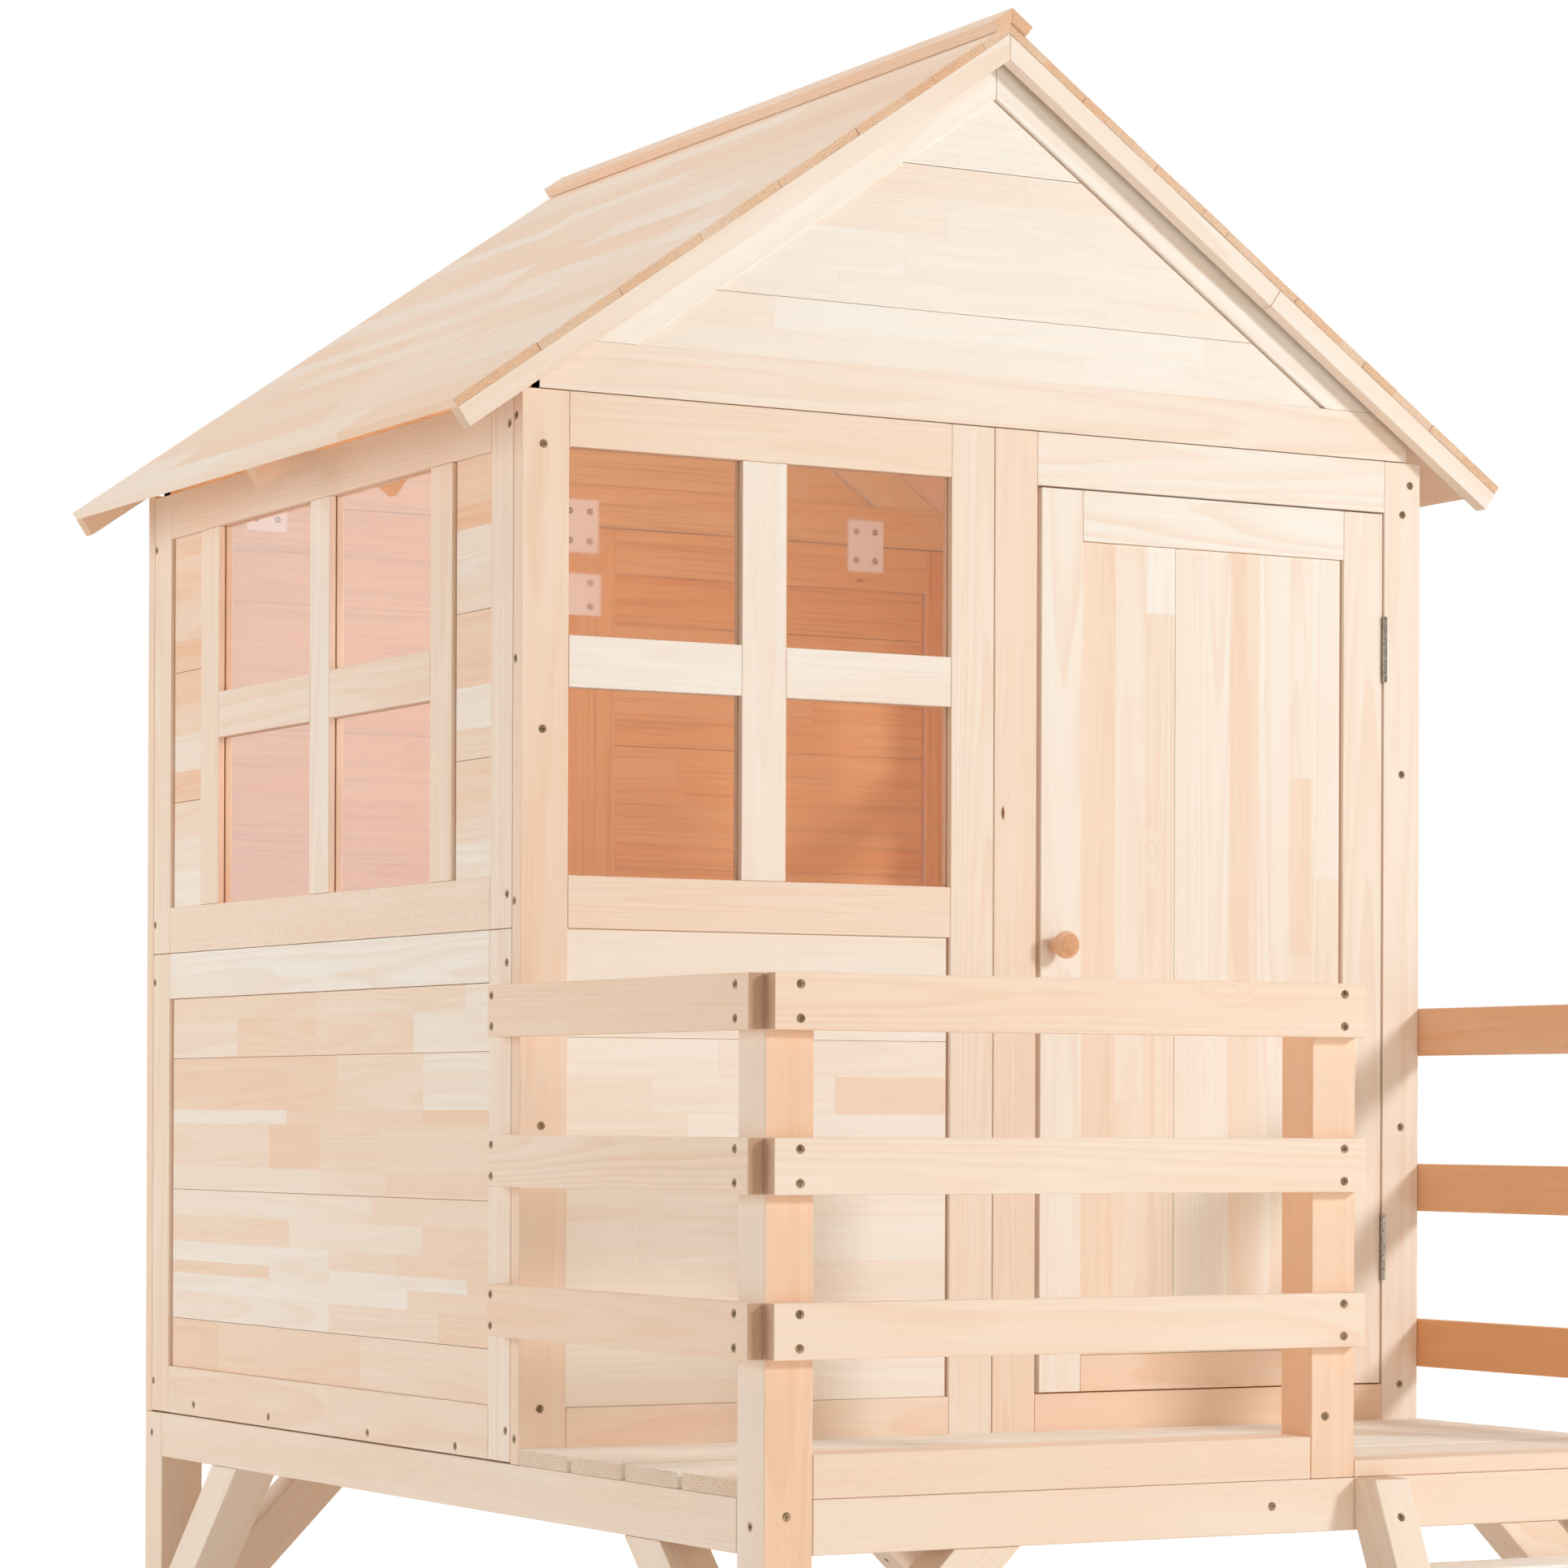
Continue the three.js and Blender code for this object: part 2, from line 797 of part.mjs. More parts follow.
function roof() {
  const right = roofHalf();
  return [
    piece("roof_right_half", right, roof_pine),
    piece("roof_left_half", mirrored(right), roof_pine),
    ridgeCap(),
  ];
}

// Assembly

function group(name, pieces) {
  const holder = new THREE.Group();
  holder.name = name;
  holder.add(...pieces);
  return holder;
}

const platform = [
  ...legs(),
  ...beams(),
  ...braces(),
  ...terraceBoards(),
  ...terraceEdge(),
  houseFloor(),
];
const house = [
  frontWindowPanel(),
  doorSurroundPanel(),
  ...sideWalls(),
  ...rearWallPanels(),
  ...panes(),
  ...gables(),
];
const door = [doorLeaf(), doorKnob(), ...hinges()];
const ladder = [...ladderStringers(), ...ladderSteps()];

// The part's own zero is on the ground, below the middle of its outer box.
const front_end = stringerFront(ground);
const back_end = house_depth + cap_back_overhang;
const playhouse = group("wooden_playhouse", [
  group("platform", platform),
  group("terrace_rails", rails()),
  group("ladder", ladder),
  group("house", house),
  group("door", door),
  group("roof", roof()),
]);
playhouse.position.set(-house_centre, -(front_end + back_end) * half, deck_height);

const part = new THREE.Group();
part.add(playhouse);
export default part;
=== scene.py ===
"""A wooden playhouse on legs: its timbers, boards, screws, panes and finishes.

The drawing's lengths are in millimetres, from the left end of the front wall's foot at deck
level. Meshes, lamps and finishes are in metres.
"""

import logging
import math
import random
import zlib
from dataclasses import dataclass, field
from enum import Enum
from typing import Iterable, Sequence

import bpy
from mathutils import Matrix, Vector


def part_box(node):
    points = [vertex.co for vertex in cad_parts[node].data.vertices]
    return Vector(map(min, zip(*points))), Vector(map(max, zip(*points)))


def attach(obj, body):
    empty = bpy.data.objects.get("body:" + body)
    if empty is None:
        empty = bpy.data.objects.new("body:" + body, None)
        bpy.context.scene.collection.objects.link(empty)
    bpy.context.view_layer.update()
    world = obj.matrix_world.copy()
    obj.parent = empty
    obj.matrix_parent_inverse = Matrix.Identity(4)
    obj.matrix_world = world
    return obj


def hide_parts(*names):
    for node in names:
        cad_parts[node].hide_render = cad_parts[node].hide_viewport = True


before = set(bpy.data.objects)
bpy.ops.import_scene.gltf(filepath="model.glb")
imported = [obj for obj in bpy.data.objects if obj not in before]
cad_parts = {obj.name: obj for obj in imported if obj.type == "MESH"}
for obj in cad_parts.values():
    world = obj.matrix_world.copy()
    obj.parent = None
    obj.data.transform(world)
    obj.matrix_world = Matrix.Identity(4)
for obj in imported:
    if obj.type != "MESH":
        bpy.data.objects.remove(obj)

LOG = logging.getLogger("playhouse")
MM = 0.001
PHOTO_SIDE = 1932
SCREW_FINISH = "dark_screw_finish"
PLATE_FINISH = "white_plate_finish"

Span = tuple[float, float]
Colour = tuple[float, float, float, float]

LEFT, RIGHT = Vector((-1, 0, 0)), Vector((1, 0, 0))
FRONT, BACK = Vector((0, -1, 0)), Vector((0, 1, 0))
DOWN, UP = Vector((0, 0, -1)), Vector((0, 0, 1))


class Grain(Enum):
    """The direction in which a board's grain runs."""

    X = Vector((1, 0, 0))
    Y = Vector((0, 1, 0))
    Z = Vector((0, 0, 1))


class Plane(Enum):
    """The plane in which a panel stands."""

    FRONT = "front"
    SIDE = "side"


class Slot(Enum):
    """The finishes that the record names."""

    TIMBER = "timber_pine"
    PANEL = "panel_pine"
    ROOF = "roof_pine"
    DECK = "deck_pine"
    TURNED = "turned_wood"
    PANE = "clear_pane"
    METAL = "hinge_metal"


class Body(Enum):
    """The rigid bodies that pieces ride on."""

    HOUSE = "house"
    DOOR = "door"


@dataclass(frozen=True)
class Sizes:
    """The house's main sizes."""

    width: float = 1213.0
    depth: float = 1089.0
    terrace: float = 550.0
    deck: float = 600.0
    post: float = 56.0
    middle_post: Span = (662.0, 718.0)
    wall: float = 21.0
    wall_top: float = 1158.0
    side_top: float = 1154.0
    foot: float = -17.75
    gap: float = 0.25
    joint: float = 0.15
    member: float = 58.0
    recess: float = 5.0
    muntin: float = 57.0
    sill: float = 627.0
    head: float = 1097.0
    seam: float = 568.5
    foot_rail_top: float = 43.0
    pitch: float = math.radians(34.6)
    ridge: float = 1607.0
    half_span: float = 698.0

    @property
    def middle(self) -> float:
        """The middle of the front wall."""
        return self.width / 2

    @property
    def post_back(self) -> float:
        """The back face of the terrace posts."""
        return self.post - self.terrace

    def peak(self, drop: float = 0.0) -> Vector:
        """Gives a point on the ridge line, lower by a drop square to the slope."""
        return Vector((self.middle, 0, self.ridge - drop / math.cos(self.pitch)))

    def down(self, side: int) -> Vector:
        """Gives the direction down a slope, with -1 for the left one and 1 for the right one."""
        return Vector((side * math.cos(self.pitch), 0, -math.sin(self.pitch)))

    def off(self, side: int) -> Vector:
        """Gives the direction square to a slope."""
        return Vector((side * math.sin(self.pitch), 0, math.cos(self.pitch)))


S = Sizes()


@dataclass(frozen=True)
class Cut:
    """A saw cut: what lies on the side that the normal points to is cut off."""

    point: Vector
    normal: Vector


@dataclass
class Timber:
    """One straight board or post.

    Attributes:
        centre: Its middle.
        size: Length, width and thickness.
        along: Direction of the length, and of the grain.
        across: Direction of the width.
        tone: Wood colour, from 0 for palest to 1 for amber.
        edge: Width of the rounded edges.
        cuts: Saw cuts.
        figure: How curly the grain is.
        weathered: How much darker the sawn ends are painted, as painted shade over the end grain's
            own colour.
        groove: The two corners of a box that is routed out.
        side_shift: How much darker the faces toward the sides are painted, as painted shade; below
            zero they are painted lighter, as painted light.
        calm: How much weaker than usual its rings and streaks are.
    """

    centre: Vector
    size: tuple[float, float, float]
    along: Vector
    across: Vector
    tone: float = 0.3
    edge: float = 1.2
    cuts: list[Cut] = field(default_factory=list)
    figure: float = 0.0
    weathered: float = 0.0
    groove: tuple[Vector, Vector] | None = None
    side_shift: float = 0.0
    calm: float = 0.0

    @classmethod
    def between(cls, x: Span, y: Span, z: Span, grain: Grain, **more: object) -> "Timber":
        """Makes a board that fills an upright box.

        Args:
            x: Left and right ends.
            y: Front and back ends.
            z: Lower and upper ends.
            grain: The direction of its length.
            **more: Further fields of the timber.

        Returns:
            The timber.
        """
        spans = {Grain.X: x, Grain.Y: y, Grain.Z: z}
        centre = Vector([(low + high) / 2 for low, high in spans.values()])
        reach = {axis: high - low for axis, (low, high) in spans.items()}
        others = sorted((axis for axis in spans if axis is not grain), key=lambda a: -reach[a])
        size = (reach[grain], reach[others[0]], reach[others[1]])
        return cls(centre, size, grain.value, others[0].value, **more)

    @property
    def turn(self) -> Matrix:
        """The timber's directions as a matrix."""
        return Matrix((self.along, self.across, self.along.cross(self.across))).transposed()

    def holds(self, point: Vector, margin: float = 1.5) -> bool:
        """Tells whether a point lies in or on the timber."""
        local = self.turn.transposed() @ (point - self.centre)
        return all(abs(local[i]) <= self.size[i] / 2 + margin for i in range(3))


@dataclass(frozen=True)
class Screw:
    """A countersunk screw: where its head lies, and which way the head faces."""

    point: Vector
    facing: Vector


def screws_at(spots: Iterable[Sequence[float]], facing: Vector) -> list[Screw]:
    """Gives a screw at each spot, all facing one way."""
    return [Screw(Vector(spot), facing) for spot in spots]


class Workshop:
    """Cuts, drills, rounds and joins timbers into the pieces of the scene."""

    BEVEL_STEPS = 2
    HOLE = {"vertices": 20, "radius1": 0.0018, "radius2": 0.0056, "depth": 0.006}
    HOLE_SINK = 0.0021
    SHARP_ANGLE = math.radians(50)
    GRAIN_LEAN = 0.010
    NEAR_PITH_SHARE = 0.28
    NEAR_PITH = (0.5, 1.3)
    FAR_PITH = (1.4, 4.5)
    PITH_ASIDE = 0.45
    PITH_SLIDE = 900

    def __init__(self) -> None:
        """Finds the drawing's zero from the front left leg."""
        low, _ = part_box("front_left_leg_and_post")
        self.zero = low + Vector((0, S.terrace, S.deck)) * MM
        self.screws: dict[Body, list[Screw]] = {Body.HOUSE: [], Body.DOOR: []}
        self.finishes: dict[Slot, bpy.types.Material] = {}

    def at(self, point: Vector) -> Vector:
        """Turns a point of the drawing into the part's frame, in metres."""
        return self.zero + point * MM

    @staticmethod
    def only(*objects: bpy.types.Object) -> None:
        """Selects just these objects and makes the first one active.

        Args:
            *objects: The objects.
        """
        bpy.ops.object.select_all(action="DESELECT")
        for obj in objects:
            obj.select_set(True)
        bpy.context.view_layer.objects.active = objects[0]

    @staticmethod
    def block(
        centre: Vector, size: Sequence[float], turn: Matrix | None = None
    ) -> bpy.types.Object:
        """Makes a block to start a piece or a cutter from.

        Args:
            centre: Its middle, in metres.
            size: Its three sizes, in metres.
            turn: Its directions, where they aren't the part's own.

        Returns:
            The new object, with its place in its mesh.
        """
        bpy.ops.object.select_all(action="DESELECT")
        bpy.ops.mesh.primitive_cube_add(size=1)
        obj = bpy.context.active_object
        turned = turn.to_4x4() if turn else Matrix.Identity(4)
        scale = Matrix.Diagonal(Vector(size)).to_4x4()
        obj.matrix_world = Matrix.Translation(centre) @ turned @ scale
        bpy.ops.object.transform_apply(location=True, rotation=True, scale=True)
        return obj

    def modify(self, obj: bpy.types.Object, kind: str, **settings: object) -> None:
        """Adds a modifier and applies it.

        Args:
            obj: The object.
            kind: The modifier's type.
            **settings: Its settings.
        """
        self.only(obj)
        modifier = obj.modifiers.new(kind.lower(), kind)
        for name, value in settings.items():
            setattr(modifier, name, value)
        bpy.ops.object.modifier_apply(modifier=modifier.name)

    def subtract(self, obj: bpy.types.Object, cutter: bpy.types.Object) -> None:
        """Takes a cutter out of an object and removes the cutter.

        Args:
            obj: The object.
            cutter: The cutter.
        """
        self.modify(obj, "BOOLEAN", operation="DIFFERENCE", object=cutter)
        self.only(cutter)
        bpy.ops.object.delete()

    def saw(self, timber: Timber) -> bpy.types.Object:
        """Makes a timber's solid with its saw cuts, rounded edges and groove.

        Args:
            timber: The timber to make.

        Returns:
            The new object.
        """
        obj = self.block(self.at(timber.centre), Vector(timber.size) * MM, timber.turn)
        bpy.ops.object.mode_set(mode="EDIT")
        for cut in timber.cuts:
            bpy.ops.mesh.select_all(action="SELECT")
            bpy.ops.mesh.bisect(
                plane_co=self.at(cut.point), plane_no=cut.normal, use_fill=True, clear_outer=True
            )
        bpy.ops.mesh.select_all(action="SELECT")
        bpy.ops.mesh.bevel(offset=timber.edge * MM, segments=self.BEVEL_STEPS, affect="EDGES")
        bpy.ops.object.mode_set(mode="OBJECT")
        if timber.groove:
            self.rout(obj, timber.groove)
        return obj

    def rout(self, obj: bpy.types.Object, groove: tuple[Vector, Vector]) -> None:
        """Routs a groove out of a timber where its box reaches into it.

        Args:
            obj: The timber's object.
            groove: The two corners of the groove's box.
        """
        low, high = (self.at(corner) for corner in groove)
        for axis in range(3):
            places = [vertex.co[axis] for vertex in obj.data.vertices]
            if max(places) <= low[axis] or min(places) >= high[axis]:
                return
        self.subtract(obj, self.block((low + high) / 2, high - low))

    def drill(self, obj: bpy.types.Object, screws: Sequence[Screw]) -> None:
        """Sinks the holes for screw heads into a timber, where there are any screws.

        Args:
            obj: The timber's object.
            screws: The screws.
        """
        if not screws:
            return
        cutters = []
        for screw in screws:
            bpy.ops.object.select_all(action="DESELECT")
            bpy.ops.mesh.primitive_cone_add(
                **self.HOLE,
                location=self.at(screw.point) - screw.facing * self.HOLE_SINK,
                rotation=screw.facing.to_track_quat("Z", "Y").to_euler(),
            )
            cutters.append(bpy.context.active_object)
        self.only(*cutters)
        if len(cutters) > 1:
            bpy.ops.object.join()
        self.subtract(obj, bpy.context.active_object)

    def mark_grain(
        self, obj: bpy.types.Object, timber: Timber, rng: random.Random, inward: Vector = Vector()
    ) -> None:
        """Stores where the tree's pith ran, so that rings and fibres follow the board.

        Args:
            obj: The timber's solid.
            timber: The timber.
            rng: Where the chances come from.
            inward: The direction into the house, for boards that close it off; faces that look
                along it are given painted shade.
        """
        lean = Vector([rng.uniform(-self.GRAIN_LEAN, self.GRAIN_LEAN) for _ in range(3)])
        grain = (timber.along + lean).normalized()
        thick = timber.along.cross(timber.across)
        near = rng.random()
        reach = rng.uniform(*(self.NEAR_PITH if near < self.NEAR_PITH_SHARE else self.FAR_PITH))
        away = rng.choice((-1, 1)) * reach * max(timber.size[1], 30.0)
        aside = rng.uniform(-self.PITH_ASIDE, self.PITH_ASIDE) * timber.size[1]
        slide = rng.uniform(-self.PITH_SLIDE, self.PITH_SLIDE)
        pith = timber.centre + thick * away + timber.across * aside + grain * slide
        board = Vector((timber.tone, rng.random() * 10, timber.figure))
        ends = Vector((timber.weathered, timber.calm, timber.side_shift))
        values = {
            "pith": self.at(pith), "grain": grain, "board": board, "ends": ends, "inward": inward
        }
        count = len(obj.data.vertices)
        for name, value in values.items():
            attribute = obj.data.attributes.new(name, "FLOAT_VECTOR", "POINT")
            attribute.data.foreach_set("vector", list(value) * count)

    def build(
        self, node: str, timbers: Sequence[Timber], slot: Slot,
        screws: Sequence[Screw] = (), body: Body = Body.HOUSE, inward: Vector = Vector(),
    ) -> None:
        """Makes the piece that stands for one node.

        Args:
            node: The node that it replaces.
            timbers: The boards that it is made of.
            slot: Its finish.
            screws: The screws that are driven into it.
            body: The body that it rides on.
            inward: The direction into the house, for pieces that close it off; faces that look
                along it are given painted shade.
        """
        rng = random.Random(zlib.crc32(node.encode()))
        parts = []
        for timber in timbers:
            obj = self.saw(timber)
            self.drill(obj, [screw for screw in screws if timber.holds(screw.point)])
            self.mark_grain(obj, timber, rng, inward)
            parts.append(obj)
        self.only(*parts)
        if len(parts) > 1:
            bpy.ops.object.join()
        piece = bpy.context.active_object
        bpy.ops.object.shade_smooth_by_angle(angle=self.SHARP_ANGLE)
        self.modify(piece, "WEIGHTED_NORMAL", keep_sharp=True)
        self.screws[body].extend(screws)
        self.place(piece, node + "_wood", slot, body)
        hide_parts(node)

    def place(
        self, piece: bpy.types.Object, name: str, slot: Slot, body: Body, finish: str = ""
    ) -> None:
        """Names a piece, dresses it and lets it ride on its body.

        Args:
            piece: The piece.
            name: Its name.
            slot: The slot that its finish belongs to.
            body: The body that it rides on.
            finish: A material's name, where the piece has another one than its slot.
        """
        piece.name = piece.data.name = name
        piece.data.materials.clear()
        piece.data.materials.append(bpy.data.materials[finish] if finish else self.finishes[slot])
        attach(piece, body.value)
        LOG.info("%s: %d faces", name, len(piece.data.polygons))


# Finishes


def linear(red: float, green: float, blue: float) -> Colour:
    """Turns a display colour of 0 to 255 into linear light.

    Args:
        red: The red share.
        green: The green share.
        blue: The blue share.

    Returns:
        The colour, opaque.
    """
    shares = [value / 255 for value in (red, green, blue)]
    light = [s / 12.92 if s <= 0.04045 else ((s + 0.055) / 1.055) ** 2.4 for s in shares]
    return (*light, 1.0)


class Sheet:
    """Short calls for laying out a node tree."""

    def __init__(self, tree: bpy.types.NodeTree) -> None:
        """Keeps the tree that the calls add to."""
        self.tree = tree

    def node(self, kind: str, **settings: object) -> bpy.types.Node:
        """Adds a shader node.

        Args:
            kind: Its type.
            **settings: Its properties.

        Returns:
            The node.
        """
        made = self.tree.nodes.new("ShaderNode" + kind)
        for name, value in settings.items():
            setattr(made, name, value)
        return made

    def fill(self, node: bpy.types.Node, values: dict[int | str, object]) -> None:
        """Links sockets to a node's inputs, and sets those that get a plain value.

        Args:
            node: The node.
            values: What each input gets, by its name or number.
        """
        for name, value in values.items():
            if isinstance(value, bpy.types.NodeSocket):
                self.tree.links.new(value, node.inputs[name])
            else:
                node.inputs[name].default_value = value

    def result(
        self, kind: str, values: dict[int | str, object], out: int | str = 0, **settings: object
    ) -> bpy.types.NodeSocket:
        """Adds a node and fills it.

        Args:
            kind: Its type.
            values: What each input gets.
            out: Which output is wanted.
            **settings: Its properties.

        Returns:
            The output.
        """
        made = self.node(kind, **settings)
        self.fill(made, values)
        return made.outputs[out]

    def math(self, operation: str, *values: object) -> bpy.types.NodeSocket:
        """Adds a sum on numbers."""
        return self.result("Math", dict(enumerate(values)), operation=operation)

    def times(self, first: object, second: object) -> bpy.types.NodeSocket:
        """Multiplies two numbers."""
        return self.math("MULTIPLY", first, second)

    def swing(self, value: object, reach: float, base: object) -> bpy.types.NodeSocket:
        """Adds to a base what a value of about one half strays from it, times a reach."""
        return self.math("MULTIPLY_ADD", self.math("SUBTRACT", value, 0.5), reach, base)

    def any_of(self, *values: bpy.types.NodeSocket) -> bpy.types.NodeSocket:
        """Gives the largest of two or three masks."""
        first = self.math("MAXIMUM", values[0], values[1])
        return self.math("MAXIMUM", first, values[2]) if len(values) > 2 else first

    def vector(self, operation: str, *values: object, out: str = "Vector") -> bpy.types.NodeSocket:
        """Adds a sum on vectors."""
        return self.result("VectorMath", dict(enumerate(values)), out, operation=operation)

    def scale(self, vector: object, factor: object) -> bpy.types.NodeSocket:
        """Scales a vector."""
        return self.result("VectorMath", {0: vector, "Scale": factor}, operation="SCALE")

    def split(self, vector: object) -> bpy.types.bpy_prop_collection:
        """Splits a vector.

        Args:
            vector: The vector.

        Returns:
            Its three numbers.
        """
        made = self.node("SeparateXYZ")
        self.fill(made, {0: vector})
        return made.outputs

    def noise(
        self, point: object, scale: float, detail: float = 2.0, rough: float = 0.5
    ) -> bpy.types.NodeSocket:
        """Adds a noise texture."""
        values = {"Vector": point, "Scale": scale, "Detail": detail, "Roughness": rough}
        return self.result("TexNoise", values)

    def span(
        self, value: object, low: float, high: float, to: Span = (0.0, 1.0)
    ) -> bpy.types.NodeSocket:
        """Maps a range smoothly to another one.

        Args:
            value: The value.
            low: The range's lower end.
            high: Its upper end.
            to: The range that it's mapped to.

        Returns:
            The mapped value.
        """
        values = {"Value": value, "From Min": low, "From Max": high}
        values |= {"To Min": to[0], "To Max": to[1]}
        return self.result("MapRange", values, interpolation_type="SMOOTHSTEP")

    def mix(self, share: object, first: object, second: object) -> bpy.types.NodeSocket:
        """Mixes two colours."""
        return self.result("Mix", {0: share, 6: first, 7: second}, 2, data_type="RGBA")

    def tint(self, colour: object, by: object) -> bpy.types.NodeSocket:
        """Multiplies a colour by another one."""
        values = {0: 1.0, 6: colour, 7: by}
        return self.result("Mix", values, 2, data_type="RGBA", blend_type="MULTIPLY")

    def grey(self, value: bpy.types.NodeSocket) -> bpy.types.NodeSocket:
        """Turns a number into a grey colour."""
        return self.result("CombineColor", dict.fromkeys(range(3), value))


class WoodGroup:
    """The node group that draws rings, fibres, knots and end grain in a board, and paints shade on
    sawn ends and on faces inside the house, and shade or light on side faces.
    """

    NAME = "board_grain"
    VECTORS = ("Point", "Normal", "Pith", "Grain", "Board", "Ends", "Inward")
    NUMBERS = ("Ring Width", "Contrast", "Knots")
    RESULTS = (("Color", "Color"), ("Roughness", "Float"), ("Height", "Float"))
    TONES = (
        (0.0, linear(254, 248, 239)),
        (0.3, linear(252, 230, 210)),
        (0.6, linear(250, 212, 182)),
        (1.0, linear(243, 182, 130)),
    )
    LATE_WOOD = linear(244, 206, 172)
    SAWN_ENDS = (linear(250, 236, 222), linear(238, 216, 194))
    # Painted shade: darker browns that the sawn ends are mixed toward.
    WEATHERED_ENDS = (linear(164, 126, 101), linear(202, 164, 136))
    # Painted shade: the warm darker tint given to wood faces that look into the house.
    INDOORS = linear(236, 212, 174)
    KNOT = linear(142, 92, 56)

    def __init__(self) -> None:
        """Lays out the sockets, and splits the point along and across the grain."""
        self.tree = bpy.data.node_groups.new(self.NAME, "ShaderNodeTree")
        sockets = [(name, "INPUT", "Vector") for name in self.VECTORS]
        sockets += [(name, "INPUT", "Float") for name in self.NUMBERS]
        sockets += [(name, "OUTPUT", kind) for name, kind in self.RESULTS]
        for name, way, kind in sockets:
            self.tree.interface.new_socket(name, in_out=way, socket_type="NodeSocket" + kind)
        self.sheet = sheet = Sheet(self.tree)
        self.given = given = self.tree.nodes.new("NodeGroupInput").outputs
        offset = sheet.vector("SUBTRACT", given["Point"], given["Pith"])
        length = sheet.vector("DOT_PRODUCT", offset, given["Grain"], out="Value")
        self.core = sheet.scale(given["Grain"], length)
        self.radial = sheet.vector("SUBTRACT", offset, self.core)
        self.tone, seed, self.figure = sheet.split(given["Board"])
        spread = {0: sheet.times(seed, 3.7), 1: seed, 2: sheet.times(seed, 1.9)}
        self.shift = sheet.result("CombineXYZ", spread)

    def grained(self, across: float, down: float) -> bpy.types.NodeSocket:
        """Scales the point across and along the grain, and moves it by the board's seed."""
        wide, long = self.sheet.scale(self.radial, across), self.sheet.scale(self.core, down)
        return self.sheet.vector("ADD", self.sheet.vector("ADD", wide, long), self.shift)

    def texture(
        self, across: float, down: float, detail: float = 2.0, rough: float = 0.5
    ) -> bpy.types.NodeSocket:
        """Gives noise that is stretched along the grain."""
        return self.sheet.noise(self.grained(across, down), 1.0, detail, rough)

    def knots(self) -> tuple[bpy.types.NodeSocket, bpy.types.NodeSocket]:
        """Places a few knots.

        Returns:
            The knots' mask, and how they bend the rings.
        """
        sheet = self.sheet
        cells = sheet.node("TexVoronoi", feature="F1")
        sheet.fill(cells, {"Scale": 1.0, "Vector": self.grained(30.0, 9.0)})
        pick = sheet.result("SeparateColor", {0: cells.outputs["Color"]})
        chosen = sheet.math("LESS_THAN", pick, self.given["Knots"])
        distance = sheet.swing(self.texture(130.0, 90.0), 0.05, cells.outputs["Distance"])
        mask = sheet.span(distance, 0.04, 0.09, (1.0, 0.0))
        bend = sheet.span(distance, 0.0, 0.45, (1.0, 0.0))
        return sheet.times(mask, chosen), sheet.times(bend, chosen)

    def rings(self, bend: bpy.types.NodeSocket) -> bpy.types.NodeSocket:
        """Draws the yearly rings around the pith.

        Args:
            bend: How the knots bend them.

        Returns:
            The mask of the late wood.
        """
        sheet = self.sheet
        radius = sheet.vector("LENGTH", self.radial, out="Value")
        radius = sheet.swing(self.texture(9.0, 1.3, 3.0, 0.45), 0.013, radius)
        curl = sheet.math("SUBTRACT", self.texture(30.0, 26.0), 0.5)
        radius = sheet.math("MULTIPLY_ADD", sheet.times(curl, self.figure), 0.03, radius)
        radius = sheet.math("MULTIPLY_ADD", bend, 0.008, radius)
        phase = sheet.math("DIVIDE", radius, self.given["Ring Width"])
        tooth = sheet.math("FRACT", sheet.math("ADD", phase, sheet.noise(self.given["Board"], 1.0)))
        late = sheet.times(sheet.span(tooth, 0.25, 0.88), sheet.span(tooth, 0.90, 1.0, (1.0, 0.0)))
        strength = sheet.span(self.texture(14.0, 0.9, 1.0), 0.25, 0.75, (0.25, 1.0))
        return sheet.times(late, strength)

    def ramp(self, shade: bpy.types.NodeSocket) -> bpy.types.NodeSocket:
        """Turns a tone into a wood colour.

        Args:
            shade: The tone.

        Returns:
            The colour.
        """
        made = self.sheet.node("ValToRGB")
        stops = made.color_ramp.elements
        stops[1].position, stops[1].color = self.TONES[-1]
        stops[0].position, stops[0].color = self.TONES[0]
        for place, colour in self.TONES[1:-1]:
            stops.new(place).color = colour
        self.sheet.fill(made, {0: shade})
        return made.outputs[0]

    def build(self) -> bpy.types.NodeTree:
        """Draws the wood.

        Returns:
            The node group.
        """
        sheet, given = self.sheet, self.given
        knots, bend = self.knots()
        late = self.rings(bend)
        fibre = self.texture(950.0, 14.0, 3.0, 0.6)
        weathered, calm, side_shift = sheet.split(given["Ends"])
        lively = sheet.math("SUBTRACT", 1.0, calm)
        drift = sheet.swing(self.texture(12.0, 3.0), 0.20, 0.0)
        drift = sheet.swing(self.texture(160.0, 2.2, 3.0, 0.55), 0.22, drift)
        shade = sheet.math("MULTIPLY_ADD", drift, lively, self.tone)
        # Painted shade and light: faces that look left or right are shifted darker by the side
        # shade, or lighter where it is below zero.
        sideways = sheet.math("ABSOLUTE", sheet.split(given["Normal"])[0])
        colour = self.ramp(sheet.math("MULTIPLY_ADD", side_shift, sideways, shade))
        line = sheet.times(sheet.times(late, given["Contrast"]), lively)
        colour = sheet.mix(line, colour, sheet.tint(colour, self.LATE_WOOD))
        colour = sheet.tint(colour, sheet.grey(sheet.span(fibre, 0.3, 0.75, (1.0, 0.965))))

        facing = sheet.vector("DOT_PRODUCT", given["Normal"], given["Grain"], out="Value")
        end = sheet.span(sheet.math("ABSOLUTE", facing), 0.6, 0.9)
        pores = sheet.span(self.texture(420.0, 5.0), 0.35, 0.65, (0.84, 0.97))
        sawn = sheet.tint(colour, sheet.mix(late, *self.SAWN_ENDS))
        sawn = sheet.tint(sawn, sheet.grey(pores))
        # Painted shade: the sawn ends are mixed toward darker browns by the end shade.
        sawn = sheet.mix(weathered, sawn, sheet.mix(pores, *self.WEATHERED_ENDS))
        colour = sheet.mix(end, colour, sawn)
